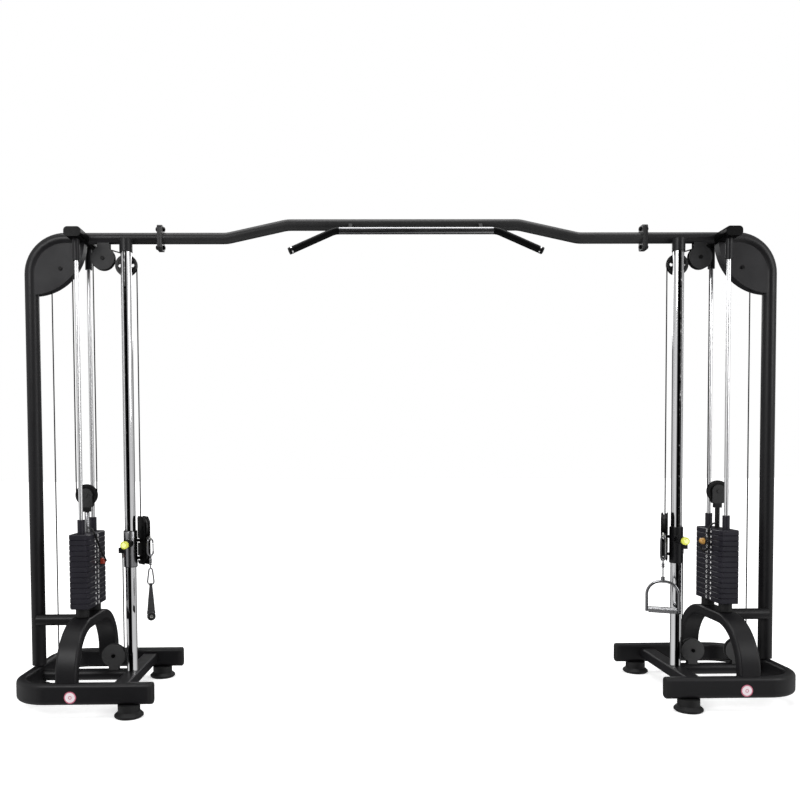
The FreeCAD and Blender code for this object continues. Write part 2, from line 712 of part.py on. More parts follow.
# ================================================================ carriage and swivel head
def carriage_solid(s):
    """The sliding sleeve with its pin boss, swivel arms and lower cable lug."""
    x = s * COLUMN_X
    sleeve = rod((x, COLUMN_Y, SLEEVE_LOW), (x, COLUMN_Y, SLEEVE_TOP), SLEEVE_R)
    rims = [e for e in sleeve.Edges if e.BoundBox.ZLength < 1e-6]
    sleeve = sleeve.makeFillet(3, rims)
    boss = join([
        rod((x, COLUMN_Y - 20, PIN_Z), (x, COLUMN_Y - 58, PIN_Z), 21),
        rod((x, COLUMN_Y - 50, PIN_Z), (x, BOSS_END, PIN_Z), BOSS_R),
    ])
    lug = box(x + s * 18, s * (LUG_X + 12), -32, 8, LUG_Z, LUG_Z + 26)
    parts = [sleeve, boss, lug]
    axis = V(s * SWIVEL_X, 0, 0)
    toward = V(x, COLUMN_Y, 0) - axis
    side = V(-toward.y, toward.x, 0).normalize() * 7
    for low, high in HINGE_ARMS:
        lift = V(0, 0, low)
        corners = [axis + side + lift, axis + toward + side + lift]
        corners += [axis + toward - side + lift, axis - side + lift]
        arm = Part.Face(Part.makePolygon(corners + corners[:1])).extrude(V(0, 0, high - low))
        eye = rod((axis.x, 0, low), (axis.x, 0, high), 10)
        parts += [arm, eye]
    tools = [rod((x, COLUMN_Y, 600), (x, COLUMN_Y, 900), COLUMN_R + FIT)]
    tools.append(rod((axis.x, 0, 600), (axis.x, 0, 900), HINGE_R + FIT))
    tools.append(rod((x, COLUMN_Y - 20, PIN_Z), (x, BOSS_END - 5, PIN_Z), PIN_R + FIT))
    return solid_of(trim(join(parts), tools))


def pop_pin_solid(s):
    """The spring pin: a shank that points at the column's hole and a round pull knob."""
    x = s * COLUMN_X
    tip = COLUMN_Y - COLUMN_R - 0.5
    shank = rod((x, tip, PIN_Z), (x, PULL_Y - 10, PIN_Z), PIN_R)
    skirt = Part.makeCone(10, 13, 6, V(x, PULL_Y + 6, PIN_Z), V(0, -1, 0))
    knob = rod((x, PULL_Y, PIN_Z), (x, PULL_Y - PULL_LENGTH, PIN_Z), PULL_R)
    rims = [e for e in knob.Edges if e.BoundBox.YLength < 1e-6]
    knob = knob.makeFillet(8, rims)
    return join([shank, skirt, knob])


def turned(shape, s, angle):
    """Moves a piece built about the swivel axis, facing -Y, to its place on a tower."""
    shape = shape.copy()
    shape.rotate(V(0, 0, 0), Z_AXIS, -s * angle)
    shape.translate(V(s * SWIVEL_X, 0, 0))
    return shape


def swivel_yoke(s, angle):
    """Two cheeks and their webs, welded to a hinge rod that turns in the carriage arms."""
    outline = [(8, 806), (8, 876), (0, 886), (-66, 886), (-92, 862), (-92, 682), (-76, 654)]
    outline += [(-10, 652), (8, 660)]
    parts = []
    for x0, x1 in ((-CHEEK_OUT, -CHEEK_IN), (CHEEK_IN, CHEEK_OUT)):
        cheek = plate_yz(outline, x0, x1)
        notches = [box(x0 - 1, x1 + 1, -20, 20, 670, 692), box(x0 - 1, x1 + 1, -20, 20, 756, 777)]
        parts.append(trim(cheek, notches))
    parts.append(rod((0, 0, 656), (0, 0, 789), HINGE_R))
    for low, high, front in ((778, 790, 11), (738, 752, 12), (694, 702, 7), (652, 662, 12)):
        parts.append(box(-CHEEK_IN - 1, CHEEK_IN + 1, -front, 7, low, high))
    for y, z in ((UPPER_Y, UPPER_Z), (LOWER_Y, LOWER_Z)):
        parts.append(rod((-CHEEK_OUT - 1.5, y, z), (CHEEK_OUT + 1.5, y, z), AXLE_R))
        for x in (-CHEEK_OUT - 1.5, CHEEK_OUT):
            parts.append(rod((x, y, z), (x + 1.5, y, z), 9))
    return turned(solid_of(join(parts)), s, angle)


def cable_end(s, angle):
    """The rubber stop ball on the end of the cable, with its eye."""
    ball = Part.makeSphere(BALL_R, V(0, BALL_Y, EXIT_Z))
    neck = rod((0, BALL_Y, EXIT_Z), (0, EYE_Y + EYE_R, EXIT_Z + 1), 4)
    eye = ring((0, EYE_Y, EXIT_Z + 3), (1, 0, 0), EYE_R, EYE_WIRE)
    return turned(solid_of(join([ball, neck, eye])), s, angle)


def hook_solids(s, angle, height, width):
    """The snap link that hangs in the cable's eye, and the swivel barrel linked below it."""
    wire = LINK_WIRE
    top = LINK_TOP_Z
    link = oval_link((0, EYE_Y, top + wire - height / 2), width, height, wire, 0)
    low = top + 2 * wire - height
    loop = ring((0, EYE_Y, low - 1.6), (1, 0, 0), 9.0, 3.0)
    barrel = rod((0, EYE_Y, low - 36), (0, EYE_Y, low - 12), 7)
    bore = rod((0, EYE_Y, low - 40), (0, EYE_Y, low - 18), STUD_R + FIT)
    barrel = trim(join([loop, barrel]), [bore])
    return [turned(link, s, angle), turned(solid_of(barrel), s, angle)]


def strap_handle(angle_own, s, angle):
    """A nylon strap handle: a ring on its swivel stud, and two legs sewn round the grip's ends."""
    low = LINK_TOP_Z + 2 * LINK_WIRE - LINK_HEIGHT["left"]
    stud = rod((0, 0, low - 20), (0, 0, low - 62), STUD_R)
    link = oval_link((0, 0, STRAP_RING_Z), 36, STRAP_RING_H, 3.5, 0)
    steel = join([stud, rod((0, 0, low - 38), (0, 0, low - 46), 6), link])
    half = STRAP_WIDTH / 2
    knot_z = STRAP_RING_Z - STRAP_RING_H / 2 + 7.6
    legs = [box(-half + 6, half - 6, -4.5, 4.5, knot_z - 14, knot_z - 9)]
    for sign in (-1, 1):
        profile = [(sign * 1.2, knot_z - 9.5), (sign * 4.5, knot_z - 9.5)]
        profile += [(sign * (BAND_Y + 5), GRIP_Z_LEFT + 14), (sign * (BAND_Y + 1), GRIP_Z_LEFT + 14)]
        legs.append(plate_yz(profile, -half, half))
        band = rod((0, sign * (BAND_Y - 5), GRIP_Z_LEFT), (0, sign * (BAND_Y + 7), GRIP_Z_LEFT), 20)
        legs.append(band)
    legs.append(tube((-9, 0, knot_z), (9, 0, knot_z), 9.5, 7.5).cut(box(-20, 20, -20, 20, knot_z, knot_z + 20)))
    for sign in (-1, 1):
        legs.append(box(-9, 9, sign * 4.5, sign * 9.5, knot_z - 12, knot_z))
    grip_bore = rod((0, -BAND_Y - 20, GRIP_Z_LEFT), (0, BAND_Y + 20, GRIP_Z_LEFT), GRIP_R_LEFT + 0.4)
    strap = trim(join(legs), [grip_bore])
    placed = []
    for shape in (steel, strap):
        placed.append(place_handle(solid_of(shape), s, angle, angle_own))
    return placed


def strap_grip(angle_own, s, angle):
    end = BAND_Y + 9
    shape = tube((0, -end, GRIP_Z_LEFT), (0, end, GRIP_Z_LEFT), GRIP_R_LEFT, 8)
    return place_handle(shape, s, angle, angle_own)


def place_handle(shape, s, angle, own):
    """Turns a handle about its own hanging line, then moves it under the cable's eye."""
    shape = shape.copy()
    shape.rotate(V(0, 0, 0), Z_AXIS, s * (angle - own))
    shape.translate(V(0, EYE_Y, 0))
    return turned(shape, s, angle)


def d_handle(s, angle):
    """The rigid D handle: a bent bow, its eye and swivel stud, and the bar its grip turns on."""
    low = LINK_TOP_Z + 2 * LINK_WIRE - LINK_HEIGHT["right"]
    half = D_WIDTH / 2 - BOW_R
    z = D_GRIP_Z
    low_end = z - 9
    points = [(-half, 0, low_end), (-half, 0, D_TOP_Z), (half, 0, D_TOP_Z), (half, 0, low_end)]
    bow = sweep_round(bent_path(points, [D_BEND_R, D_BEND_R]), BOW_R)
    bar = rod((-half - BOW_R, 0, z), (half + BOW_R, 0, z), D_BAR_R)
    stud = rod((0, 0, low - 20), (0, 0, D_TOP_Z + 4), STUD_R)
    boss = rod((0, 0, D_TOP_Z + 22), (0, 0, D_TOP_Z), 9)
    whole = join([bow, bar, stud, boss])
    return place_handle(solid_of(whole), s, angle, angle)


def d_grip(s, angle):
    half = D_WIDTH / 2 - 2 * BOW_R - 1.0
    shape = tube((-half, 0, D_GRIP_Z), (half, 0, D_GRIP_Z), D_GRIP_R, D_BAR_R + FIT)
    return place_handle(shape, s, angle, angle)


# ================================================================ cable
def round_run(points, radii):
    return sweep_round(bent_path(points, radii), CABLE_R)


def fixed_cables(s):
    """The stretches that run between fixed pulleys: their line never moves, only slides."""
    low = BOTTOM_Z
    under = low - CABLE_RC
    inner = s * (INNER_BOTTOM_X - CABLE_RC)
    outer = s * (OUTER_X + CABLE_RC)
    back = s * (OUTER_X - CABLE_RC)
    over = OUTER_TOP_Z + CABLE_RC
    points = [(inner, 0, low + 1), (inner, 0, under), (outer, 0, under), (outer, 0, over)]
    points += [(back, 0, over), (back, 0, OUTER_TOP_Z - 1)]
    long_run = round_run(points, [CABLE_RC - 0.01] * 4)
    first = s * (INNER_TOP_X + CABLE_RC)
    last = s * (SPOKED_X - CABLE_RC)
    dx = SPOKED_X - INNER_TOP_X
    dz = SPOKED_Z - INNER_TOP_Z
    slope = math.atan2(-dz, -dx)
    rise = CABLE_RC / math.cos(slope)
    start_z = INNER_TOP_Z + rise + CABLE_RC * math.tan(slope)
    end_z = SPOKED_Z + rise - CABLE_RC * math.tan(slope)
    points = [(first, 0, OUTER_TOP_Z), (first, 0, start_z), (last, 0, end_z), (last, 0, SPOKED_Z - 1)]
    short_run = round_run(points, [CABLE_RC, CABLE_RC])
    return [long_run, short_run]


def lift_strands(s):
    """The two straight stretches that hold the floating pulley and shorten as the stack rises."""
    outer = s * (OUTER_X - CABLE_RC)
    inner = s * (INNER_TOP_X + CABLE_RC)
    return [
        rod((outer, 0, FLOAT_Z), (outer, 0, OUTER_TOP_Z - 1), CABLE_R),
        rod((inner, 0, FLOAT_Z), (inner, 0, OUTER_TOP_Z), CABLE_R),
    ]


def upper_strand(s):
    x = s * (SPOKED_X - CABLE_RC)
    return rod((x, 0, UPPER_Z + 2), (x, 0, SPOKED_Z - 1), CABLE_R)


def lower_strand(s):
    x = s * LUG_X
    return rod((x, 0, BOTTOM_Z + 1), (x, 0, LUG_Z), CABLE_R)


# ================================================================ assembly
os.makedirs("parts", exist_ok=True)

export("crossbeam", crossbeam_solid())
export("bolts", flange_bolts() + pulley_axles(-1) + pulley_axles(1))
export("pull_up_bar", pull_up_bar_solid())
export("rail_end_caps", rail_end_caps())
feet = [foot(s * FOOT_X, y) for s in (-1, 1) for y in (-RAIL_Y, RAIL_Y)]
feet += [foot(s * UPRIGHT_X, 0) for s in (-1, 1)]
export("feet", feet)
guide_rods = []
bumpers = []
for s in (-1, 1):
    for y in (-ROD_Y, ROD_Y):
        guide_rods.append(rod((s * STACK_X, y, ARCH_TOP - 57), (s * STACK_X, y, ROD_TOP), ROD_R))
        bumpers.append(tube((s * STACK_X, y, ARCH_TOP), (s * STACK_X, y, STACK_LOW - 0.4), BUMPER_R, ROD_R))
export("guide_rods", guide_rods)
export("stack_bumpers", bumpers)
export("columns", [column_solid(-1), column_solid(1)])
export("bend_covers", [bend_cover_solid(-1), bend_cover_solid(1)])
export("top_pulley_guards", top_guards(-1) + top_guards(1))
export("bottom_pulley_guards", bottom_guards(-1) + bottom_guards(1))
export("resting_plates", resting_plates(-1, LIFTED["left"]) + resting_plates(1, LIFTED["right"]))
export("fixed_cables", fixed_cables(-1) + fixed_cables(1))

export("stack_arches", [arch_solid(-1), arch_solid(1)])

upright = upright_solids(-1)
for side, s in SIDES.items():
    angle = SWIVEL_TURN[side]
    export("upright_" + side, upright if s < 0 else mirrored(upright))
    export("base_" + side, base_solid(s))
    export("lifted_plates_" + side, lifted_plates(s, LIFTED[side]))
    export("stack_stem_" + side, stem_solid(s))
    export("selector_pin_" + side, selector_pin(s, LIFTED[side]))
    export("floating_pulley_" + side, pulley(s * STACK_X, 0, FLOAT_Z, RIM_R, PULLEY_HALF, 0, "y"))
    export("outer_top_pulley_" + side, pulley(s * OUTER_X, 0, OUTER_TOP_Z, RIM_R, PULLEY_HALF, 0, "y"))
    export("inner_top_pulley_" + side, pulley(s * INNER_TOP_X, 0, INNER_TOP_Z, RIM_R, PULLEY_HALF, 0, "y"))
    export("spoked_pulley_" + side, pulley(s * SPOKED_X, 0, SPOKED_Z, RIM_R, PULLEY_HALF, 6, "y"))
    export("inner_bottom_pulley_" + side, pulley(s * INNER_BOTTOM_X, 0, BOTTOM_Z, RIM_R, PULLEY_HALF, 0, "y"))
    export("outer_bottom_pulley_" + side, pulley(s * OUTER_X, 0, BOTTOM_Z, RIM_R, PULLEY_HALF, 0, "y"))
    export("carriage_" + side, carriage_solid(s))
    export("pop_pin_" + side, pop_pin_solid(s))
    export("swivel_yoke_" + side, swivel_yoke(s, angle))
    for name, y, z, rim in (("upper", UPPER_Y, UPPER_Z, RIM_R), ("lower", LOWER_Y, LOWER_Z, LOWER_RIM_R)):
        shape = turned(pulley(0, y, z, rim, PULLEY_HALF, 0, "x"), s, angle)
        export(name + "_head_pulley_" + side, shape)
    export("cable_end_" + side, cable_end(s, angle))
    export("snap_hook_" + side, hook_solids(s, angle, LINK_HEIGHT[side], LINK_WIDTH[side]))
    export("lift_strands_" + side, lift_strands(s))
    export("upper_strand_" + side, upper_strand(s))
    export("lower_strand_" + side, lower_strand(s))

export("strap_handle", strap_handle(STRAP_TURN, -1, SWIVEL_TURN["left"]))
export("strap_grip", strap_grip(STRAP_TURN, -1, SWIVEL_TURN["left"]))
export("d_handle", d_handle(1, SWIVEL_TURN["right"]))
export("d_grip", d_grip(1, SWIVEL_TURN["right"]))
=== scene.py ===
"""Cable crossover machine: materials, fine pieces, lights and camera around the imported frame."""

import math

import bmesh
import bpy
from mathutils import Matrix, Vector
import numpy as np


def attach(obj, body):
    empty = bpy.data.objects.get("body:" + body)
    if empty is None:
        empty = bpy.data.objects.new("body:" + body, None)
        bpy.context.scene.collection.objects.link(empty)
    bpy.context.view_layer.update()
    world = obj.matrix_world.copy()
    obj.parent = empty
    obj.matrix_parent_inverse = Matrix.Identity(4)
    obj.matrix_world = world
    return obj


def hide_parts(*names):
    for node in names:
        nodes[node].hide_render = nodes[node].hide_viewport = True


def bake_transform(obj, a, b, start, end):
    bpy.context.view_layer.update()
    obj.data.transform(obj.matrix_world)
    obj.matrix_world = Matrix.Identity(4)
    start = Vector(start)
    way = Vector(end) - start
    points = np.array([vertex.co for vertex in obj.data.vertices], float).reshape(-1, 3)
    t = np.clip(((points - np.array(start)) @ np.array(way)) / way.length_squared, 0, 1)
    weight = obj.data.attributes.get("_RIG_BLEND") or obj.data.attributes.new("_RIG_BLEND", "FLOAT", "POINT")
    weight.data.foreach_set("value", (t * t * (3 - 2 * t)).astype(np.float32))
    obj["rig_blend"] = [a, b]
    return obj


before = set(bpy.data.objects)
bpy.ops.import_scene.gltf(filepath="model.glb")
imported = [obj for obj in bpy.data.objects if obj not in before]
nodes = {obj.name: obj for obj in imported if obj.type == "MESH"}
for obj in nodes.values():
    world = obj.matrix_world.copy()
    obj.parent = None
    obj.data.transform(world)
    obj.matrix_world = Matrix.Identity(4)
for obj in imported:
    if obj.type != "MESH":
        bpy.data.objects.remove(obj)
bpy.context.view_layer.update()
SIDES = {"left": -1, "right": 1}

# ------------------------------------------------------------------ places, in metres
# A tower's places are those of the right one. The left one has the same, with x the other way.
STACK_X = 1.555  # middle of the plates, the stem and the floating pulley
PLATE_HALF_X = 0.051
PLATE_T = 0.025
PITCH = 0.0253  # from one plate to the next
STACK_LOW = 0.4517  # underside of the lowest plate
PLATES = 14
LIFTED = {"left": 6, "right": 3}  # plates that lift: the selector pin's own and those above it
FORK_LOW_Z = 0.929  # where the stem widens into the floating pulley's fork
FLOAT_Z = 0.990  # axle of the floating pulley
COLUMN_X, COLUMN_Y = 1.335, -0.038
PIN_Z = 0.7574  # axis of the pop pin
PULL_Y = -0.133  # where the pop pin's knob starts
LUG_X = 1.384  # the carriage's cable lug, and the lower run of cable
CABLE_R = 0.003
WRAP_R = 0.050  # from a pulley's axle to the middle of the cable on it
FLOAT_CABLE_X = (STACK_X + WRAP_R, STACK_X - WRAP_R)
FLOAT_CABLE_TOP, HEAD_CABLE_TOP = 2.083, 2.101  # where the cable leaves the top pulleys
LUG_CABLE_LOW, LUG_CABLE_TOP = 0.199, 0.706  # ends of the run from the bottom pulleys to the lug
FERRULE_Z = 0.6805  # underside of the ferrule below the lug
LANYARD_R = 0.0044
HEAD_BLOCK_Z = (2.203, 2.250)  # underside and top of the block that holds the guide rods' tops
HEAD_BLOCK_HALF_X = 0.0405

# The swivel head turns about a vertical line at SWIVEL_X. Its places are given about that line.
SWIVEL_X = 1.294
TURN = {"left": 34.0, "right": 25.0}  # degrees
STRAP_TURN = 14.0  # degrees, of the strap handle
UPPER_Y, UPPER_Z = -0.050, 0.832  # axle of the upper head pulley
STOP_Y = -0.106  # middle of the stop ball
EYE_Y = -0.126  # the eye that the snap hook hangs in
LINK_TOP_Z = 0.7824  # top of the snap hook
LINK_H = {"left": 0.088, "right": 0.128}
LINK_W = {"left": 0.036, "right": 0.030}

# The strap handle hangs from the left hook.
STRAP_TOP_Z = 0.5585  # where its two webbing legs part
STRAP_DROP = 0.1260  # from there down to the grip
STRAP_T = 0.0024  # the webbing's thickness
GRIP_Z = 0.420  # axis of the grip

# The pull-up bar hangs off centre. Its ends bend out and down.
BAR_X = 0.057
# Painted highlight: the bar keeps its bright plating only on its front within this distance of its middle,
# out to its brackets; the sloped ends and the brackets are jet black.
BAR_HIGHLIGHT_HALF = 0.314
BAR_HALF = 0.604
BAR_FRONT_Y = -0.054  # what is further back is its brackets
BAR_END_Y, BAR_END_Z = -0.075, 2.152
BAR_END_RUN, BAR_END_DROP = 0.216, 0.095

BADGE_AT = (1.530, -0.3630, 0.096)  # on the front of each base rail

PULLEYS = ("floating", "outer_top", "inner_top", "spoked", "inner_bottom", "outer_bottom", "upper_head",
           "lower_head")
MIX_A, MIX_B, MIX_RESULT = 6, 7, 2  # the colour sockets of a Mix node


# ------------------------------------------------------------------ materials
class Mat:
    """A small builder for node materials."""

    def __init__(self, name):
        self.mat = bpy.data.materials.new(name)
        self.mat.use_nodes = True
        self.tree = self.mat.node_tree
        self.bsdf = self.tree.nodes["Principled BSDF"]
        self.coords = self.tree.nodes.new("ShaderNodeTexCoord")

    def set(self, **values):
        for key, value in values.items():
            name = key.replace("_", " ")
            if name in ("Base Color", "Emission Color"):
                value = (*value, 1.0)
            self.bsdf.inputs[name].default_value = value

    def link(self, a, b):
        self.tree.links.new(a, b)

    def noise(self, scale, detail=3.0, rough=0.55, stretch=(1, 1, 1)):
        mapping = self.tree.nodes.new("ShaderNodeMapping")
        mapping.inputs["Scale"].default_value = stretch
        self.link(self.coords.outputs["Object"], mapping.inputs["Vector"])
        node = self.tree.nodes.new("ShaderNodeTexNoise")
        node.inputs["Scale"].default_value = scale
        node.inputs["Detail"].default_value = detail
        node.inputs["Roughness"].default_value = rough
        self.link(mapping.outputs["Vector"], node.inputs["Vector"])
        return node.outputs["Fac"]

    def wave(self, scale, direction="Z", distortion=0.0):
        node = self.tree.nodes.new("ShaderNodeTexWave")
        node.bands_direction = direction
        node.inputs["Scale"].default_value = scale
        node.inputs["Distortion"].default_value = distortion
        self.link(self.coords.outputs["Object"], node.inputs["Vector"])
        return node.outputs["Fac"]

    def ramp(self, source, stops):
        node = self.tree.nodes.new("ShaderNodeValToRGB")
        ramp = node.color_ramp
        while len(ramp.elements) < len(stops):
            ramp.elements.new(0.5)
        for element, (place, colour) in zip(ramp.elements, stops):
            element.position = place
            element.color = (*colour, 1.0) if hasattr(colour, "__len__") else (colour, colour, colour, 1.0)
        self.link(source, node.inputs["Fac"])
        return node.outputs["Color"]

    def colour(self, source, stops):
        self.link(self.ramp(source, stops), self.bsdf.inputs["Base Color"])

    def rough(self, source, low, high):
        self.link(self.ramp(source, [(0.25, low), (0.75, high)]), self.bsdf.inputs["Roughness"])

    def mixed(self, a, b, blend, factor):
        """Two colours mixed; factor is a number or a socket."""
        node = self.tree.nodes.new("ShaderNodeMix")
        node.data_type = "RGBA"
        node.blend_type = blend
        if isinstance(factor, float):
            node.inputs[0].default_value = factor
        else:
            self.link(factor, node.inputs[0])
        self.link(a, node.inputs[MIX_A])
        self.link(b, node.inputs[MIX_B])
        return node.outputs[MIX_RESULT]

    def calc(self, kind, a, *others):
        """A Math node on socket a; each of the others is a number or a socket."""
        node = self.tree.nodes.new("ShaderNodeMath")
        node.operation = kind
        self.link(a, node.inputs[0])
        for socket, value in zip(node.inputs[1:], others):
            if isinstance(value, float):
                socket.default_value = value
            else:
                self.link(value, socket)
        return node.outputs[0]

    def bump(self, source, strength, distance):
        node = self.tree.nodes.new("ShaderNodeBump")
        node.inputs["Strength"].default_value = strength
        node.inputs["Distance"].default_value = distance
        self.link(source, node.inputs["Height"])
        last = self.bsdf.inputs["Normal"]
        if last.is_linked:
            self.link(last.links[0].from_socket, node.inputs["Normal"])
        self.link(node.outputs["Normal"], last)


def powder_coat(name, dark, light, low, high, specular=0.24):
    """Satin powder coat: fine orange peel, slow colour drift, and a soft sheen that varies."""
    m = Mat(name)
    m.set(Metallic=0.0, Coat_Weight=specular / 6, Coat_Roughness=0.35, Specular_IOR_Level=specular)
    drift = m.noise(2.2, 2.0)
    m.colour(drift, [(0.3, dark), (0.7, light)])
    m.rough(m.noise(14.0, 4.0), low, high)
    m.bump(m.noise(900.0, 2.0), 0.10, 0.0004)
    return m.mat


def plated(name, base, low, high, streak=(1, 1, 1), grain=0.04):
    """Bright plating with faint polishing streaks."""
    m = Mat(name)
    m.set(Metallic=1.0)
    m.colour(m.noise(6.0, 3.0), [(0.3, tuple(c * 0.93 for c in base)), (0.7, base)])
    m.rough(m.noise(60.0, 4.0, 0.6, streak), low, high)
    if grain:
        m.bump(m.noise(500.0, 2.0, 0.5, streak), grain, 0.0002)
    return m.mat


def moulded(name, dark, light, low, high, grain=1400.0, depth=0.18, coat=0.0):
    """Moulded plastic or rubber with a fine spark-eroded grain."""
    m = Mat(name)
    m.set(Coat_Weight=coat, Coat_Roughness=0.12, Specular_IOR_Level=0.30 if not coat else 0.5)
    m.colour(m.noise(9.0, 3.0), [(0.3, dark), (0.7, light)])
    m.rough(m.noise(30.0, 4.0), low, high)
    m.bump(m.noise(grain, 2.0), depth, 0.0003)
    return m.mat


FRAME = powder_coat("frame_coat", (0.0055, 0.0053, 0.0060), (0.0088, 0.0085, 0.0096), 0.34, 0.46)
BEAM = powder_coat("beam_coat", (0.0130, 0.0130, 0.0133), (0.0180, 0.0180, 0.0184), 0.34, 0.46)
JET = powder_coat("jet_coat", (0.0012, 0.0012, 0.0013), (0.0024, 0.0024, 0.0026), 0.30, 0.42, 0.08)
COVER = powder_coat("cover_coat", (0.0072, 0.0069, 0.0080), (0.0102, 0.0098, 0.0114), 0.44, 0.56)
GUARD = powder_coat("guard_coat", (0.0120, 0.0120, 0.0126), (0.0165, 0.0165, 0.0172), 0.44, 0.56)
LOW_GUARD = powder_coat("low_guard_coat", (0.0420, 0.0420, 0.0425), (0.0540, 0.0540, 0.0546), 0.44, 0.56)
FORK = powder_coat("fork_coat", (0.0190, 0.0190, 0.0196), (0.0260, 0.0260, 0.0268), 0.44, 0.56)
CARRIAGE = powder_coat("carriage_coat", (0.0060, 0.0060, 0.0066), (0.0100, 0.0099, 0.0108), 0.20, 0.32)
WEIGHT = moulded("weight_enamel", (0.0090, 0.0083, 0.0125), (0.0150, 0.0138, 0.0200), 0.34, 0.48, 420.0, 0.30)
CHROME = plated("chrome", (0.84, 0.84, 0.85), 0.05, 0.09, (1, 1, 0.05), 0.0)
ROD_CHROME = plated("ground_rod", (0.94, 0.94, 0.95), 0.26, 0.32, (1, 1, 0.05), 0.0)
DARK_CHROME = plated("dark_chrome", (0.27, 0.27, 0.28), 0.10, 0.16, (1, 1, 0.2), 0.0)
# Painted sheen: a lighter metal for the left tower's carriage sleeve and stem only.
PAINTED_SHEEN_METAL = plated("painted_sheen_sleeve", (0.30, 0.30, 0.31), 0.22, 0.32, (1, 1, 0.1), 0.02)
# Painted highlight: this plating goes only on the middle of the pull-up bar, so that its top shows a bright
# band there.
BAR_HIGHLIGHT_PLATING = plated("bar_painted_highlight", (0.36, 0.36, 0.37), 0.20, 0.28, (0.2, 1, 1), 0.0)
ZINC = plated("zinc", (0.62, 0.62, 0.60), 0.22, 0.36)
OXIDE = powder_coat("black_oxide", (0.0050, 0.0050, 0.0054), (0.0090, 0.0089, 0.0094), 0.26, 0.40)
STEEL = plated("drilled_steel", (0.50, 0.50, 0.50), 0.20, 0.34, (1, 1, 0.2))
NYLON = moulded("pulley_nylon", (0.0022, 0.0022, 0.0024), (0.0045, 0.0044, 0.0048), 0.34, 0.48)
RUBBER = moulded("rubber", (0.0050, 0.0050, 0.0053), (0.0095, 0.0094, 0.0097), 0.50, 0.68, 1100.0, 0.3)
YELLOW = moulded("pull_knob_yellow", (0.56, 0.58, 0.060), (0.64, 0.66, 0.090), 0.24, 0.34, 1400.0, 0.06, 0.3)
YELLOW_CAP = moulded("pull_knob_cap", (0.80, 0.86, 0.30), (0.85, 0.90, 0.38), 0.22, 0.30, 1400.0, 0.05, 0.3)
BRONZE = moulded("selector_gold", (0.42, 0.22, 0.050), (0.62, 0.34, 0.090), 0.18, 0.28, 1400.0, 0.05, 0.5)
GARNET = moulded("selector_garnet", (0.20, 0.018, 0.008), (0.34, 0.032, 0.012), 0.16, 0.26, 1400.0, 0.05, 0.5)
LABEL = moulded("label_white", (0.62, 0.62, 0.62), (0.74, 0.74, 0.73), 0.34, 0.46, 700.0, 0.05)
BADGE = moulded("badge_enamel", (0.68, 0.60, 0.63), (0.74, 0.66, 0.69), 0.24, 0.34, 700.0, 0.03, 0.4)
BADGE_RIM = moulded("badge_rim", (0.44, 0.10, 0.16), (0.52, 0.14, 0.20), 0.28, 0.38, 700.0, 0.03, 0.3)


def cable_material():
    """Clear-coated black jacket; the strands of the wire below print through as a fine helix."""
    m = Mat("cable_jacket")
    m.set(Coat_Weight=0.08, Coat_Roughness=0.2, Specular_IOR_Level=0.2)
    m.colour(m.noise(30.0, 3.0), [(0.3, (0.003, 0.003, 0.003)), (0.7, (0.006, 0.006, 0.006))])
    m.rough(m.noise(50.0, 3.0), 0.28, 0.42)
    m.bump(m.wave(260.0, "DIAGONAL", 0.6), 0.12, 0.0004)
    return m.mat


def webbing_material():
    """Black nylon webbing: ribs across the strap and a finer warp between them."""
    m = Mat("nylon_webbing")
    m.set(Sheen_Weight=0.35, Sheen_Roughness=0.4)
    ribs = m.wave(170.0, "Z")
    warp = m.wave(230.0, "X")
    weave = m.mixed(ribs, warp, "MULTIPLY", 0.7)
    m.colour(weave, [(0.1, (0.006, 0.006, 0.007)), (0.8, (0.026, 0.026, 0.029))])
    m.rough(m.noise(80.0, 3.0), 0.72, 0.88)
    m.bump(weave, 0.5, 0.0006)
    return m.mat


def knurl_material():
    """Chrome with the slanting ridges of a knurl."""
    m = Mat("knurled_chrome")
    m.set(Metallic=1.0)
    m.colour(m.noise(7.0, 3.0), [(0.3, (0.34, 0.34, 0.35)), (0.7, (0.42, 0.42, 0.43))])
    m.rough(m.noise(40.0, 3.0), 0.16, 0.28)
    m.bump(m.wave(190.0, "DIAGONAL"), 0.25, 0.0005)
    m.bump(m.noise(700.0, 1.0), 0.15, 0.0003)
    return m.mat


def column_material():
    """Mirror plating with a painted dark reflection down the front, over the line of adjustment holes: a
    near-black band with faint paler speckles in the base colour.
    """
    m = Mat("column_plating")
    m.set(Metallic=1.0)
    split = m.tree.nodes.new("ShaderNodeSeparateXYZ")
    m.link(m.coords.outputs["Object"], split.inputs[0])
    outward = m.calc("SUBTRACT", m.calc("ABSOLUTE", split.outputs[0]), COLUMN_X)
    ahead = m.calc("MULTIPLY", m.calc("ADD", split.outputs[1], -COLUMN_Y), -1.0)
    # Round the front of the column: 0 at its inner side, 0.5 straight ahead, 1 at its outer side.
    around = m.calc("MULTIPLY_ADD", m.calc("ARCTAN2", outward, ahead), 1 / math.pi, 0.5)
    # Painted reflection: the front of the plating, from about 0.40 to 0.63 of the way round, is coloured near
    # black.
    painted_reflection_band = m.ramp(around, [(0.395, 0.0), (0.415, 1.0), (0.610, 1.0), (0.630, 0.0)])
    bright = m.ramp(m.noise(6.0, 3.0), [(0.3, (0.78, 0.78, 0.79)), (0.7, (0.84, 0.84, 0.85))])
    # The painted reflection's dark colour, with faint paler speckles through it.
    scale = m.ramp(m.noise(90.0, 4.0, 0.7, (1, 1, 0.5)), [(0.56, 0.018), (0.68, 0.16)])
    m.link(m.mixed(bright, scale, "MIX", painted_reflection_band), m.bsdf.inputs["Base Color"])
    m.rough(m.noise(60.0, 4.0, 0.6, (1, 1, 0.05)), 0.05, 0.09)
    return m.mat


CABLE = cable_material()
WEBBING = webbing_material()
KNURL = knurl_material()
THREAD = moulded("stitch_thread", (0.030, 0.030, 0.031), (0.052, 0.052, 0.053), 0.6, 0.75, 2600.0, 0.3)


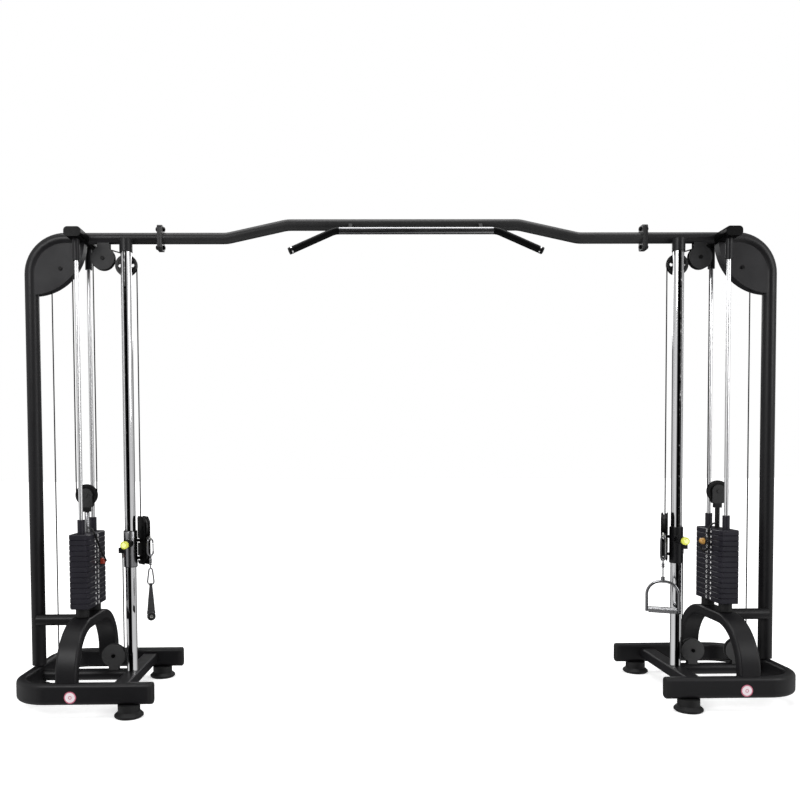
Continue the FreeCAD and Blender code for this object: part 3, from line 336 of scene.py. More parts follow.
def finish_cad(name, material, bevel=0.0, angle=35.0):
    """Gives a CAD node its material, soft edges, and smooth shading that stops at sharp edges."""
    obj = nodes[name]
    mesh = obj.data
    mesh.materials.clear()
    mesh.materials.append(material)
    mesh.polygons.foreach_set("material_index", [0] * len(mesh.polygons))
    if mesh.attributes.get("custom_normal"):
        mesh.attributes.remove(mesh.attributes["custom_normal"])
    for sharp in [a.name for a in mesh.attributes if a.name in ("sharp_edge", "sharp_face")]:
        mesh.attributes.remove(mesh.attributes[sharp])
    mesh.polygons.foreach_set("use_smooth", [True] * len(mesh.polygons))
    weld = obj.modifiers.new("weld", "WELD")
    weld.merge_threshold = 0.00002
    if bevel:
        edge = obj.modifiers.new("edge", "BEVEL")
        edge.width = bevel
        edge.segments = 3
        edge.limit_method = "ANGLE"
        edge.angle_limit = math.radians(angle)
        edge.use_clamp_overlap = True
    split = obj.modifiers.new("split", "EDGE_SPLIT")
    split.split_angle = math.radians(angle)
    even = obj.modifiers.new("even", "WEIGHTED_NORMAL")
    even.mode = "FACE_AREA"
    even.weight = 80


def second_finish(name, material, inside):
    """Gives the faces of a CAD node whose middle is inside a second material."""
    mesh = nodes[name].data
    mesh.materials.append(material)
    world = nodes[name].matrix_world
    for face in mesh.polygons:
        if inside(world @ face.center):
            face.material_index = 1


# ------------------------------------------------------------------ mesh helpers
def vec(*p):
    """A vector from its coordinates."""
    return Vector(p)


def on_head(side, x, y, z):
    """A point given about the swivel line of a tower's turned head, in the frame's own axes."""
    s = SIDES[side]
    a = math.radians(-s * TURN[side])
    return vec(s * SWIVEL_X + x * math.cos(a) - y * math.sin(a), x * math.sin(a) + y * math.cos(a), z)


def head_direction(side, x, y):
    """A level direction given on a tower's turned head, in the frame's own axes."""
    return on_head(side, x, y, 0) - on_head(side, 0, 0, 0)


def piece(name, bm, material, body, smooth_angle=35.0):
    """A visible piece from a bmesh."""
    mesh = bpy.data.meshes.new(name)
    bmesh.ops.recalc_face_normals(bm, faces=bm.faces)
    bm.to_mesh(mesh)
    bm.free()
    obj = bpy.data.objects.new(name, mesh)
    bpy.context.scene.collection.objects.link(obj)
    mesh.materials.append(material)
    mesh.polygons.foreach_set("use_smooth", [True] * len(mesh.polygons))
    split = obj.modifiers.new("split", "EDGE_SPLIT")
    split.split_angle = math.radians(smooth_angle)
    if body:
        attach(obj, body)
    return obj


def frame_at(point, z_axis, x_hint=(1, 0, 0)):
    """A matrix at a point whose local Z is z_axis."""
    z = Vector(z_axis).normalized()
    x = Vector(x_hint)
    x = (x - z * x.dot(z)).normalized()
    y = z.cross(x)
    m = Matrix((x, y, z)).transposed().to_4x4()
    m.translation = Vector(point)
    return m


def lathe(bm, profile, at, steps=48):
    """Turns a closed or open profile of (radius, height) about the local Z of at."""
    rings = []
    for r, h in profile:
        if r < 1e-7:
            rings.append([bm.verts.new(at @ vec(0, 0, h))])
            continue
        ring = []
        for k in range(steps):
            a = 2 * math.pi * k / steps
            ring.append(bm.verts.new(at @ vec(r * math.cos(a), r * math.sin(a), h)))
        rings.append(ring)
    for low, high in zip(rings, rings[1:]):
        for k in range(steps):
            n = (k + 1) % steps
            if len(low) == 1 and len(high) == 1:
                continue
            if len(low) == 1:
                bm.faces.new((low[0], high[n], high[k]))
            elif len(high) == 1:
                bm.faces.new((low[k], low[n], high[0]))
            else:
                bm.faces.new((low[k], low[n], high[n], high[k]))
    return rings


def smooth_line(points, closed=False, per=10):
    """Points along a Catmull-Rom curve through the given points."""
    pts = [Vector(p) for p in points]
    n = len(pts)
    out = []
    spans = n if closed else n - 1
    for i in range(spans):
        if closed:
            p0, p1, p2, p3 = pts[i - 1], pts[i], pts[(i + 1) % n], pts[(i + 2) % n]
        else:
            p1, p2 = pts[i], pts[i + 1]
            p0 = pts[i - 1] if i else p1 * 2 - p2
            p3 = pts[i + 2] if i + 2 < n else p2 * 2 - p1
        for k in range(per):
            t = k / per
            square = (2 * p0 - 5 * p1 + 4 * p2 - p3) * t * t
            cube = (3 * p1 - p0 - 3 * p2 + p3) * t ** 3
            out.append(0.5 * (2 * p1 + (p2 - p0) * t + square + cube))
    if not closed:
        out.append(pts[-1])
    return out


def wire(bm, line, radius, closed=False, steps=16):
    """A round tube along a line of points; radius may be a number or one number per point."""
    count = len(line)
    radii = radius if hasattr(radius, "__len__") else [radius] * count
    rings = []
    side = None
    for i, p in enumerate(line):
        if closed:
            along = (line[(i + 1) % count] - line[i - 1]).normalized()
        else:
            along = (line[min(i + 1, count - 1)] - line[max(i - 1, 0)]).normalized()
        if side is None:
            side = along.orthogonal().normalized()
        side = (side - along * side.dot(along)).normalized()
        other = along.cross(side)
        ring = []
        for k in range(steps):
            a = 2 * math.pi * k / steps
            ring.append(bm.verts.new(p + (side * math.cos(a) + other * math.sin(a)) * radii[i]))
        rings.append(ring)
    for low, high in zip(rings, rings[1:]):
        for k in range(steps):
            n = (k + 1) % steps
            bm.faces.new((low[k], low[n], high[n], high[k]))
    if closed:
        low, high = rings[-1], rings[0]
        best = min(range(steps), key=lambda o: (high[o].co - low[0].co).length)
        for k in range(steps):
            n = (k + 1) % steps
            bm.faces.new((low[k], low[n], high[(n + best) % steps], high[(k + best) % steps]))
    else:
        bm.faces.new(list(reversed(rings[0])))
        bm.faces.new(rings[-1])


def arc_points(centre, start, axis, degrees, steps=24):
    """Points of an arc from start about an axis through centre."""
    centre, start, axis = Vector(centre), Vector(start), Vector(axis).normalized()
    out = []
    for k in range(steps + 1):
        rot = Matrix.Rotation(math.radians(degrees) * k / steps, 3, axis)
        out.append(centre + rot @ (start - centre))
    return out


def ring_points(centre, start, axis, steps):
    """Points once round a circle, for a closed wire."""
    return arc_points(centre, start, axis, 360, steps)[:-1]


# ------------------------------------------------------------------ CAD nodes
def in_head_block(p):
    """Whether a point is on the block that holds the guide rods' tops."""
    low, high = HEAD_BLOCK_Z
    return low < p.z < high and abs(abs(p.x) - STACK_X) < HEAD_BLOCK_HALF_X


finish_cad("crossbeam", BEAM, 0.0012)
finish_cad("pull_up_bar", BAR_HIGHLIGHT_PLATING, 0.0008)
# Painted highlight: one tube in two finishes, bright plating between the brackets and jet coat on the sloped
# ends and brackets, so the bright band stops at the brackets.
second_finish("pull_up_bar", JET, lambda p: p.y > BAR_FRONT_Y or abs(p.x - BAR_X) > BAR_HIGHLIGHT_HALF)
finish_cad("stack_arches", FRAME, 0.0010)
finish_cad("bolts", JET, 0.0006)
finish_cad("rail_end_caps", RUBBER)
finish_cad("feet", RUBBER, 0.0015)
finish_cad("guide_rods", ROD_CHROME, 0.0004)
finish_cad("stack_bumpers", RUBBER, 0.0025)
finish_cad("columns", column_material(), 0.0006)
finish_cad("bend_covers", COVER, 0.0012)
finish_cad("top_pulley_guards", GUARD, 0.0008)
finish_cad("bottom_pulley_guards", LOW_GUARD, 0.0008)
finish_cad("resting_plates", WEIGHT)
finish_cad("fixed_cables", CABLE)
for side in SIDES:
    finish_cad("upright_" + side, FRAME, 0.0010)
    second_finish("upright_" + side, JET, in_head_block)
    finish_cad("base_" + side, FRAME, 0.0008)
    finish_cad("lifted_plates_" + side, WEIGHT)
    finish_cad("stack_stem_" + side, OXIDE, 0.0008)
    second_finish("stack_stem_" + side, FORK, lambda p: p.z > FORK_LOW_Z)
    for name in PULLEYS:
        finish_cad(name + "_pulley_" + side, NYLON, 0.0003)
    finish_cad("carriage_" + side, CARRIAGE, 0.0010)
    finish_cad("swivel_yoke_" + side, JET, 0.0010)
    for name in ("lift_strands_", "upper_strand_", "lower_strand_"):
        finish_cad(name + side, CABLE)
    finish_cad("cable_end_" + side, RUBBER)
    finish_cad("snap_hook_" + side, CHROME)
    finish_cad("pop_pin_" + side, YELLOW)
    finish_cad("selector_pin_" + side, BRONZE)
finish_cad("strap_handle", WEBBING)
finish_cad("strap_grip", RUBBER, 0.0015)
finish_cad("d_handle", DARK_CHROME, 0.0005)
finish_cad("d_grip", KNURL, 0.0010)


# ------------------------------------------------------------------ cable pieces
def cable_wraps(side, s):
    """The cable round the floating and head pulleys, its pulled end, and the ferrule below the lug."""
    bm = bmesh.new()
    centre = vec(s * STACK_X, 0, FLOAT_Z)
    wire(bm, arc_points(centre, centre + vec(WRAP_R, 0, 0), (0, 1, 0), 180, 40), CABLE_R)
    piece("floating_wrap_" + side, bm, CABLE, "stack_" + side)

    bm = bmesh.new()
    centre = on_head(side, 0, UPPER_Y, UPPER_Z)
    start = on_head(side, 0, 0, UPPER_Z)
    wire(bm, arc_points(centre, start, head_direction(side, 1, 0), -90, 24), CABLE_R)
    piece("head_wrap_" + side, bm, CABLE, "swivel_yoke_" + side)

    bm = bmesh.new()
    near = on_head(side, 0, UPPER_Y, UPPER_Z - WRAP_R)
    far = on_head(side, 0, EYE_Y + 0.030, UPPER_Z - WRAP_R)
    wire(bm, [near.lerp(far, k / 24) for k in range(25)], CABLE_R)
    pulled = piece("pulled_cable_" + side, bm, CABLE, None)
    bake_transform(pulled, "swivel_yoke_" + side, "cable_end_" + side, near, far)

    bm = bmesh.new()
    lathe(bm, [(0, 0), (0.0042, 0), (0.0052, 0.0015), (0.0052, 0.022), (0.0042, 0.0245), (0, 0.0245)],
          Matrix.Translation(vec(s * LUG_X, 0, FERRULE_Z)), 24)
    piece("lug_ferrule_" + side, bm, ZINC, "carriage_" + side)


def cable_stop(side):
    """The rubber stop ball, and the steel eye crimped on the cable's end."""
    at = frame_at(on_head(side, 0, STOP_Y, UPPER_Z - WRAP_R), head_direction(side, 0, -1), (0, 0, 1))
    bm = bmesh.new()
    profile = [(0, -0.0118), (0.0052, -0.0118)]
    for k in range(1, 16):
        a = math.pi * k / 16
        profile.append((0.0125 * math.sin(a) ** 0.9, -0.0122 * math.cos(a)))
    profile += [(0.0055, 0.0118), (0, 0.0118)]
    lathe(bm, profile, at, 40)
    ball = piece("stop_ball_" + side, bm, RUBBER, "cable_end_" + side)
    bm = bmesh.new()
    lathe(bm, [(0, 0.009), (0.0048, 0.009), (0.0048, 0.0135), (0.0040, 0.0145), (0, 0.0145)], at, 24)
    centre = on_head(side, 0, EYE_Y, UPPER_Z - WRAP_R + 0.003)
    wire(bm, ring_points(centre, centre + vec(0, 0, 0.010), head_direction(side, 1, 0), 48), 0.0030, True, 14)
    piece("cable_eye_" + side, bm, ZINC, "cable_end_" + side)
    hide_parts("cable_end_" + side)


def cable_runs(side, s):
    """The straight runs of cable that change length as the stack and the carriage move."""
    for name, node, places, fixed, moved, mover in (
        ("lift_run_", "lift_strands_", FLOAT_CABLE_X, FLOAT_CABLE_TOP, FLOAT_Z, "stack_"),
        ("upper_run_", "upper_strand_", (SWIVEL_X,), HEAD_CABLE_TOP, UPPER_Z + 0.002, "carriage_"),
        ("lower_run_", "lower_strand_", (LUG_X,), LUG_CABLE_LOW, LUG_CABLE_TOP, "carriage_"),
    ):
        bm = bmesh.new()
        for x in places:
            wire(bm, [vec(s * x, 0, fixed + (moved - fixed) * k / 48) for k in range(49)], CABLE_R)
        run = piece(name + side, bm, CABLE, None)
        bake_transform(run, "frame", mover + side, vec(0, 0, fixed), vec(0, 0, moved))
        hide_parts(node + side)


# ------------------------------------------------------------------ hooks and handles
def snap_hook(side):
    """A chromed snap hook: forged body, spring gate with its pin and nose, and a swivel below."""
    w = LINK_W[side] / 2 - 0.004
    h = LINK_H[side] - 0.008
    front = head_direction(side, 0, 1)
    across = head_direction(side, 1, 0)

    def at(x, z):
        return on_head(side, x, EYE_Y, LINK_TOP_Z + z)

    # Shares of the half width and of the height, from the nose over the top and round to the gate's foot.
    outline = [(0.96, -0.26), (0.82, -0.10), (0.45, -0.022), (0, 0), (-0.5, -0.03), (-0.88, -0.14),
               (-0.98, -0.30), (-1.0, -0.55), (-0.98, -0.80), (-0.70, -0.945), (0, -1.0), (0.70, -0.945),
               (0.98, -0.82), (1.0, -0.74)]
    line = smooth_line([at(x * w, z * h) for x, z in outline], per=8)
    radii = []
    for i in range(len(line)):
        t = i / (len(line) - 1)
        radii.append(0.0040 if 0.05 < t < 0.95 else 0.0034 + 0.012 * min(t, 1 - t))
    bm = bmesh.new()
    wire(bm, line, radii, steps=18)
    body = piece("hook_body_" + side, bm, DARK_CHROME, "hook_" + side)

    bm = bmesh.new()
    top, low = at(0.955 * w, -0.275 * h), at(w, -0.735 * h)
    gate = [top.lerp(low, k / 10) for k in range(11)]
    wire(bm, gate, [0.0022] + [0.0029] * 8 + [0.0031, 0.0031], steps=16)
    rivet = frame_at(low - front * 0.0046, front, (0, 0, 1))
    profile = [(0, 0), (0.0016, 0), (0.0020, 0.0005), (0.0020, 0.0087), (0.0016, 0.0092), (0, 0.0092)]
    lathe(bm, profile, rivet, 16)
    piece("hook_gate_" + side, bm, STEEL, "hook_" + side)

    base = LINK_TOP_Z - h
    bm = bmesh.new()
    centre = on_head(side, 0, EYE_Y, base - 0.0016)
    wire(bm, ring_points(centre, centre + vec(0, 0, 0.009), across, 40), 0.0030, True, 14)
    barrel = Matrix.Translation(on_head(side, 0, EYE_Y, base - 0.036))
    profile = [(0.0031, 0), (0.0062, 0), (0.0070, 0.0010), (0.0070, 0.0085), (0.0062, 0.0095),
               (0.0062, 0.0115), (0.0070, 0.0125), (0.0070, 0.0190), (0.0055, 0.0230), (0.0032, 0.0250),
               (0, 0.0250)]
    lathe(bm, profile, barrel, 32)
    piece("hook_swivel_" + side, bm, DARK_CHROME, "hook_" + side)
    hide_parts("snap_hook_" + side)


def strap_frame():
    """The strap handle's own frame: it hangs down local Z, and its legs part along local Y."""
    m = Matrix.Rotation(math.radians(STRAP_TURN), 4, "Z")
    m.translation = on_head("left", 0, EYE_Y, 0)
    return m


def leg_out(t):
    """How far a leg's middle is from the hanging line, t being the share of the way down."""
    return 0.0036 + 0.0470 * t + 0.0035 * math.sin(math.pi * t)


def strap_ring(at):
    """The pin that hangs in the hook's swivel, its collar, and the ring that the strap is sewn on."""
    low = LINK_TOP_Z - LINK_H["left"] + 0.008
    bm = bmesh.new()
    profile = [(0, low - 0.058), (0.0030, low - 0.058), (0.0030, low - 0.046), (0.0056, low - 0.0455),
               (0.0060, low - 0.0445), (0.0060, low - 0.039), (0.0054, low - 0.038), (0.0030, low - 0.0378),
               (0.0030, low - 0.021), (0, low - 0.020)]
    lathe(bm, profile, at, 28)
    half = [(0.0, 0.6415), (0.0058, 0.6385), (0.0086, 0.630), (0.0108, 0.612), (0.0135, 0.590),
            (0.0145, 0.577), (0.0118, 0.5685), (0.0055, 0.5650)]
    outline = half + [(0.0, 0.5645)] + [(-x, z) for x, z in reversed(half[1:])]
    line = smooth_line([at @ vec(x, 0, z) for x, z in outline], True, 6)
    wire(bm, line, 0.0035, True, 16)
    steel = piece("strap_ring", bm, DARK_CHROME, "handle_left")
    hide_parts("strap_handle")


def strap_legs(at):
    """Two webbing legs that widen and cup a little on their way down to the grip."""
    bm = bmesh.new()
    stations, columns = 26, 8
    for sign in (-1, 1):
        rows = []
        for i in range(stations + 1):
            t = i / stations
            y = sign * leg_out(t)
            z = STRAP_TOP_Z - STRAP_DROP * t
            width = 0.0130 + 0.0230 * (t ** 0.85)
            cup = 0.0018 * math.sin(math.pi * min(1.0, t * 1.4)) if t < 0.7 else 0.0
            row = []
            for k in range(columns + 1):
                f = k / columns * 2 - 1
                dip = sign * cup * (1 - f * f)
                for out in (-1, 1):
                    row.append(bm.verts.new(at @ vec(f * width / 2, y + dip + sign * out * STRAP_T / 2, z)))
            rows.append(row)
        last = 2 * columns
        for a, b in zip(rows, rows[1:]):
            for i in range(0, last, 2):
                bm.faces.new((a[i], a[i + 2], b[i + 2], b[i]))
                bm.faces.new((a[i + 1], b[i + 1], b[i + 3], a[i + 3]))
            bm.faces.new((a[0], b[0], b[1], a[1]))
            bm.faces.new((a[last], a[last + 1], b[last + 1], b[last]))
        for row in (rows[0], rows[-1]):
            for i in range(0, last, 2):
                bm.faces.new((row[i], row[i + 1], row[i + 3], row[i + 2]))
    piece("strap_legs", bm, WEBBING, "handle_left", 50)


def strap_grip_ends(at):
    """The webbing bands round the grip's ends, and the grip's steel plugs."""
    bands = bmesh.new()
    plugs = bmesh.new()
    band = [(0.0174, 0), (0.0192, 0), (0.0200, 0.0008), (0.0200, 0.0122), (0.0192, 0.0130), (0.0174, 0.0130),
            (0.0174, 0)]
    plug = [(0, 0.0555), (0.0050, 0.0555), (0.0078, 0.0575), (0.0079, 0.0590), (0.0062, 0.0592),
            (0.0055, 0.0570), (0, 0.0566)]
    for sign in (-1, 1):
        lathe(bands, band, at @ frame_at((0, sign * 0.0440, GRIP_Z), (0, sign, 0)), 48)
        lathe(plugs, plug, at @ frame_at((0, 0, GRIP_Z), (0, sign, 0)), 32)
    piece("strap_bands", bands, WEBBING, "handle_left")
    piece("grip_plugs", plugs, ZINC, "grip_left")


def strap_fold(at):
    """The webbing folded over the ring's lower bar."""
    bm = bmesh.new()
    outer, middle = 0.0068, 0.5635
    inner_share = 0.70  # the inner face's distances as a share of the outer face's
    fold = [(outer, 0.548)]
    for k in range(13):
        a = math.pi * k / 12
        fold.append((outer * math.cos(a), middle + outer * math.sin(a)))
    fold.append((-outer, 0.548))
    rows = []
    for y, z in fold:
        row = []
        for x in (-0.0075, 0.0075):
            for g in (1.0, inner_share):
                rise = (z - middle) * (g if z > middle else 1.0)
                row.append(bm.verts.new(at @ vec(x, y * g, middle + rise)))
        rows.append(row)
    for a, b in zip(rows, rows[1:]):
        bm.faces.new((a[0], a[2], b[2], b[0]))
        bm.faces.new((a[1], b[1], b[3], a[3]))
        bm.faces.new((a[0], b[0], b[1], a[1]))
        bm.faces.new((a[2], a[3], b[3], b[2]))
    for row in (rows[0], rows[-1]):
        bm.faces.new((row[0], row[1], row[3], row[2]))
    piece("strap_fold", bm, WEBBING, "handle_left", 50)


def strap_stitches(at):
    """Rows of stitches across each leg, below the ring and above the grip."""
    bm = bmesh.new()
    for sign in (-1, 1):
        lift = at.to_3x3() @ vec(0, sign * 0.0003, 0)
        for z, width, row_count in ((0.5480, 0.0095, 3), (0.4510, 0.0280, 2)):
            for row in range(row_count):
                level = z - 0.0045 * row
                y = sign * (leg_out((STRAP_TOP_Z - level) / STRAP_DROP) + STRAP_T / 2 + 0.0002)
                count = max(3, int(width / 0.0032))
                for k in range(count):
                    x = -width / 2 + width * (k + 0.5) / count
                    a = at @ vec(x - 0.0010, y, level)
                    b = at @ vec(x + 0.0010, y, level)
                    wire(bm, [a, a.lerp(b, 0.5) + lift, b], 0.00045, steps=6)
    piece("strap_stitches", bm, THREAD, "handle_left")


# ------------------------------------------------------------------ knobs, pins, labels
def pull_knob(side, s):
    """The round pull knob of the pop pin, with its paler cap, neck and plated shank."""
    at = frame_at((s * COLUMN_X, PULL_Y, PIN_Z), (0, -1, 0), (1, 0, 0))
    bm = bmesh.new()
    profile = [(0.0060, -0.006), (0.0098, -0.006), (0.0108, -0.003), (0.0130, -0.0005), (0.0152, 0.0002),
               (0.0176, 0.0018), (0.0188, 0.0055), (0.0190, 0.0110), (0.0188, 0.0170), (0.0172, 0.0228),
               (0.0146, 0.0256), (0.0126, 0.0264), (0.0119, 0.0258), (0.0114, 0.0250), (0, 0.0250)]
    lathe(bm, profile, at, 64)
    knob = piece("pull_knob_" + side, bm, YELLOW, "pop_pin_" + side, 60)
    bm = bmesh.new()
    lathe(bm, [(0.0112, 0.0246), (0.0112, 0.0258), (0.0100, 0.0266), (0.0050, 0.0271), (0, 0.0272)], at, 48)
    piece("pull_knob_cap_" + side, bm, YELLOW_CAP, "pop_pin_" + side, 60)
    bm = bmesh.new()
    lathe(bm, [(0, -0.0682), (0.0040, -0.0682), (0.0050, -0.0670), (0.0050, -0.0055)], at, 24)
    piece("pop_pin_shank_" + side, bm, ZINC, "pop_pin_" + side)
    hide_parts("pop_pin_" + side)
    bm = bmesh.new()
    profile = [(0.0121, -0.0260), (0.0170, -0.0260), (0.0185, -0.0275), (0.0185, -0.0370), (0.0121, -0.0370)]
    lathe(bm, profile, at, 6)
    piece("pin_boss_nut_" + side, bm, OXIDE, "carriage_" + side, 20)


def pin_z(side):
    """The height of a tower's selector pin."""
    return STACK_LOW + (PLATES - LIFTED[side]) * PITCH + PLATE_T / 2


def selector(side, s):
    """The selector pin: fluted knob, collar and plated shank."""
    face = STACK_X - PLATE_HALF_X
    at = frame_at((s * face, 0, pin_z(side)), (-s, 0, 0), (0, 0, 1))
    bm = bmesh.new()
    steps, flutes = 72, 12
    profile = [(0.0080, 0.0080), (0.0118, 0.0082), (0.0142, 0.0096), (0.0158, 0.0130), (0.0160, 0.0200),
               (0.0152, 0.0280), (0.0130, 0.0330), (0.0090, 0.0356), (0.0040, 0.0360), (0, 0.0360)]
    rings = lathe(bm, profile, at, steps)
    back = at.inverted()
    for ring in rings[2:7]:
        for k, vert in enumerate(ring):
            local = back @ vert.co
            dip = 1.0 - 0.045 * (0.5 + 0.5 * math.cos(k * 2 * math.pi / steps * flutes)) ** 2
            vert.co = at @ vec(local.x * dip, local.y * dip, local.z)
    colour = GARNET if side == "left" else BRONZE
    knob = piece("selector_knob_" + side, bm, colour, "selector_pin_" + side, 60)
    bm = bmesh.new()
    collar = [(0.0050, 0.0018), (0.0084, 0.0018), (0.0090, 0.0024), (0.0090, 0.0076), (0.0084, 0.0082),
              (0.0050, 0.0082)]
    lathe(bm, collar, at, 36)
    lathe(bm, [(0.0049, 0.0030), (0.0049, -0.0570), (0.0036, -0.0595), (0, -0.0598)], at, 28)
    piece("selector_shank_" + side, bm, CHROME, "selector_pin_" + side)
    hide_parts("selector_pin_" + side)


def plate_marks(side, s):
    """Blank labels and bright bushes beside each other on the stack's inner face."""
    face = s * (STACK_X - PLATE_HALF_X)
    label = [(0, 0.0007), (0.0050, 0.0007), (0.0056, 0.0004), (0.0056, -0.0006)]
    bush = [(0.0053, -0.0080), (0.0053, 0.0002), (0.0058, 0.0009), (0.0072, 0.0009), (0.0076, 0.0003),
            (0.0076, -0.0006)]
    for name, body, numbers in (
        ("resting", "frame", range(PLATES - LIFTED[side])),
        ("lifted", "stack_" + side, range(PLATES - LIFTED[side], PLATES)),
    ):
        labels = bmesh.new()
        bushes = bmesh.new()
        for i in numbers:
            z = STACK_LOW + i * PITCH + PLATE_T / 2
            lathe(labels, label, frame_at((face, -0.045, z), (-s, 0, 0), (0, 0, 1)), 28)
            lathe(bushes, bush, frame_at((face, 0, z), (-s, 0, 0), (0, 0, 1)), 32)
        piece("labels_%s_%s" % (name, side), labels, LABEL, body)
        piece("bushes_%s_%s" % (name, side), bushes, LABEL, body)


def lanyard_route(side):
    """The lanyard's control points, from the stem to the selector pin's knob."""
    z = pin_z(side)
    if side == "left":
        return [(1.5430, -0.0180, 0.8300), (1.5270, -0.0400, 0.8290), (1.5080, -0.0640, 0.8210),
                (1.4965, -0.0745, 0.8050), (1.4960, -0.0400, 0.7736), (1.4900, -0.0218, 0.7385),
                (1.4780, -0.0200, 0.7046), (1.4655, -0.0200, z + 0.0150), (1.4650, -0.0030, z + 0.0010)]
    return [(1.5430, -0.0180, 0.8300), (1.5300, -0.0260, 0.8340), (1.5110, -0.0310, 0.8270),
            (1.4960, -0.0325, 0.8000), (1.4955, -0.0343, 0.7751), (1.4955, -0.0440, 0.7514),
            (1.4930, -0.0490, 0.7240), (1.4840, -0.0420, 0.7000), (1.4740, -0.0270, 0.6950),
            (1.4670, -0.0150, 0.7080), (1.4655, -0.0060, z - 0.0080)]


def lanyard(side, s):
    """The cord that keeps the selector pin with the stack, and its loop round the knob."""
    route = lanyard_route(side)
    curve = bpy.data.curves.new("route_" + side, "CURVE")
    curve.dimensions = "3D"
    curve.resolution_u = 8
    spline = curve.splines.new("NURBS")
    spline.points.add(len(route) - 1)
    for point, (x, y, height) in zip(spline.points, route):
        point.co = (s * x, y, height, 1.0)
    spline.order_u = 3
    spline.use_endpoint_u = True
    drawn = bpy.data.objects.new("route_" + side, curve)
    line = [v.co.copy() for v in bpy.data.meshes.new_from_object(drawn).vertices]
    bpy.data.objects.remove(drawn)
    bm = bmesh.new()
    wire(bm, line, LANYARD_R, steps=14)
    cord = piece("lanyard_" + side, bm, CABLE, None)
    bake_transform(cord, "stack_" + side, "selector_pin_" + side, line[len(line) // 3], line[-1])
    bm = bmesh.new()
    centre = vec(s * (STACK_X - PLATE_HALF_X - 0.0125), 0, pin_z(side))
    wire(bm, ring_points(centre, centre + vec(0, 0, 0.0185), (1, 0, 0), 48), 0.0028, True, 12)
    piece("knob_loop_" + side, bm, RUBBER, "selector_pin_" + side)


def painted_sheen_skins():
    """Painted sheen: lighter satin-metal skins round the left carriage's sleeve and the left stem only, where
    the right tower's stay plain black.
    """
    bm = bmesh.new()
    lathe(bm, [(0.0320, 0.6440), (0.0324, 0.6450), (0.0324, 0.8130), (0.0320, 0.8140)],
          Matrix.Translation(vec(-COLUMN_X, COLUMN_Y, 0)), 72)
    piece("sleeve_skin", bm, PAINTED_SHEEN_METAL, "carriage_left")
    bm = bmesh.new()
    lathe(bm, [(0.0115, 0.8065), (0.0122, 0.8072), (0.0122, 0.9040), (0.0115, 0.9050)],
          Matrix.Translation(vec(-STACK_X, 0, 0)), 48)
    piece("stem_sleeve", bm, PAINTED_SHEEN_METAL, "stack_left")


def bar_ends():
    """A plug and a bright ring at each end of the pull-up bar."""
    plugs = bmesh.new()
    rings = bmesh.new()
    plug = [(0.0160, -0.0020), (0.0171, 0.0001), (0.0171, 0.0030), (0.0150, 0.0052), (0.0090, 0.0062),
            (0, 0.0064)]
    for s in (-1, 1):
        place = (BAR_X + s * BAR_HALF, BAR_END_Y, BAR_END_Z)
        at = frame_at(place, (s * BAR_END_RUN, 0, -BAR_END_DROP), (0, 1, 0))
        lathe(plugs, plug, at, 40)
        lathe(rings, [(0.0168, -0.0150), (0.0177, -0.0145), (0.0177, -0.0085), (0.0168, -0.0080)], at, 48)
    piece("bar_plugs", plugs, RUBBER, "frame")
    piece("bar_rings", rings, CHROME, "frame")


def badge(side, s):
    """A blank round badge on the front rail."""
    x, y, z = BADGE_AT
    at = frame_at((s * x, y, z), (0, -1, 0), (1, 0, 0))
    bm = bmesh.new()
    lathe(bm, [(0, 0.0016), (0.0190, 0.0016), (0.0222, 0.0013), (0.0224, 0.0006), (0, 0.0006)], at, 64)
    piece("blank_badge_" + side, bm, BADGE, "frame")
    bm = bmesh.new()
    rim = [(0.0223, 0.0004), (0.0226, 0.0018), (0.0262, 0.0018), (0.0270, 0.0010), (0.0270, -0.0008)]
    lathe(bm, rim, at, 64)
    lathe(bm, [(0.0050, 0.0010), (0.0052, 0.0021), (0.0078, 0.0021), (0.0080, 0.0010)], at, 40)
    piece("badge_rim_" + side, bm, BADGE_RIM, "frame")


for side, s in SIDES.items():
    cable_wraps(side, s)
    cable_stop(side)
    snap_hook(side)
    pull_knob(side, s)
    selector(side, s)
    plate_marks(side, s)
    lanyard(side, s)
    cable_runs(side, s)
    badge(side, s)
strap_place = strap_frame()
for make in (strap_ring, strap_legs, strap_grip_ends, strap_fold, strap_stitches):
    make(strap_place)
painted_sheen_skins()
bar_ends()


# ------------------------------------------------------------------ floor, light and camera
def pale_floor():
    """A pale floor that glows more with distance, so that it fades into the backdrop."""
    mesh = bpy.data.meshes.new("floor")
    bm = bmesh.new()
    bmesh.ops.create_grid(bm, x_segments=1, y_segments=1, size=40.0)
    bm.to_mesh(mesh)
    bm.free()
    floor = bpy.data.objects.new("floor", mesh)
    bpy.context.scene.collection.objects.link(floor)
    pale = Mat("pale_floor")
    pale.set(Base_Color=(0.86, 0.86, 0.86), Roughness=0.9, Specular_IOR_Level=0.1)
    pale.set(Emission_Color=(1.0, 1.0, 1.0))
    distance = pale.tree.nodes.new("ShaderNodeVectorMath")
    distance.operation = "LENGTH"
    pale.link(pale.coords.outputs["Object"], distance.inputs[0])
    glow = pale.tree.nodes.new("ShaderNodeMapRange")
    pale.link(distance.outputs["Value"], glow.inputs["Value"])
    glow.inputs["From Min"].default_value = 1.5
    glow.inputs["From Max"].default_value = 7.0
    glow.inputs["To Min"].default_value = 0.55
    glow.inputs["To Max"].default_value = 1.0
    pale.link(glow.outputs["Result"], pale.bsdf.inputs["Emission Strength"])
    mesh.materials.append(pale.mat)
    floor.visible_glossy = False


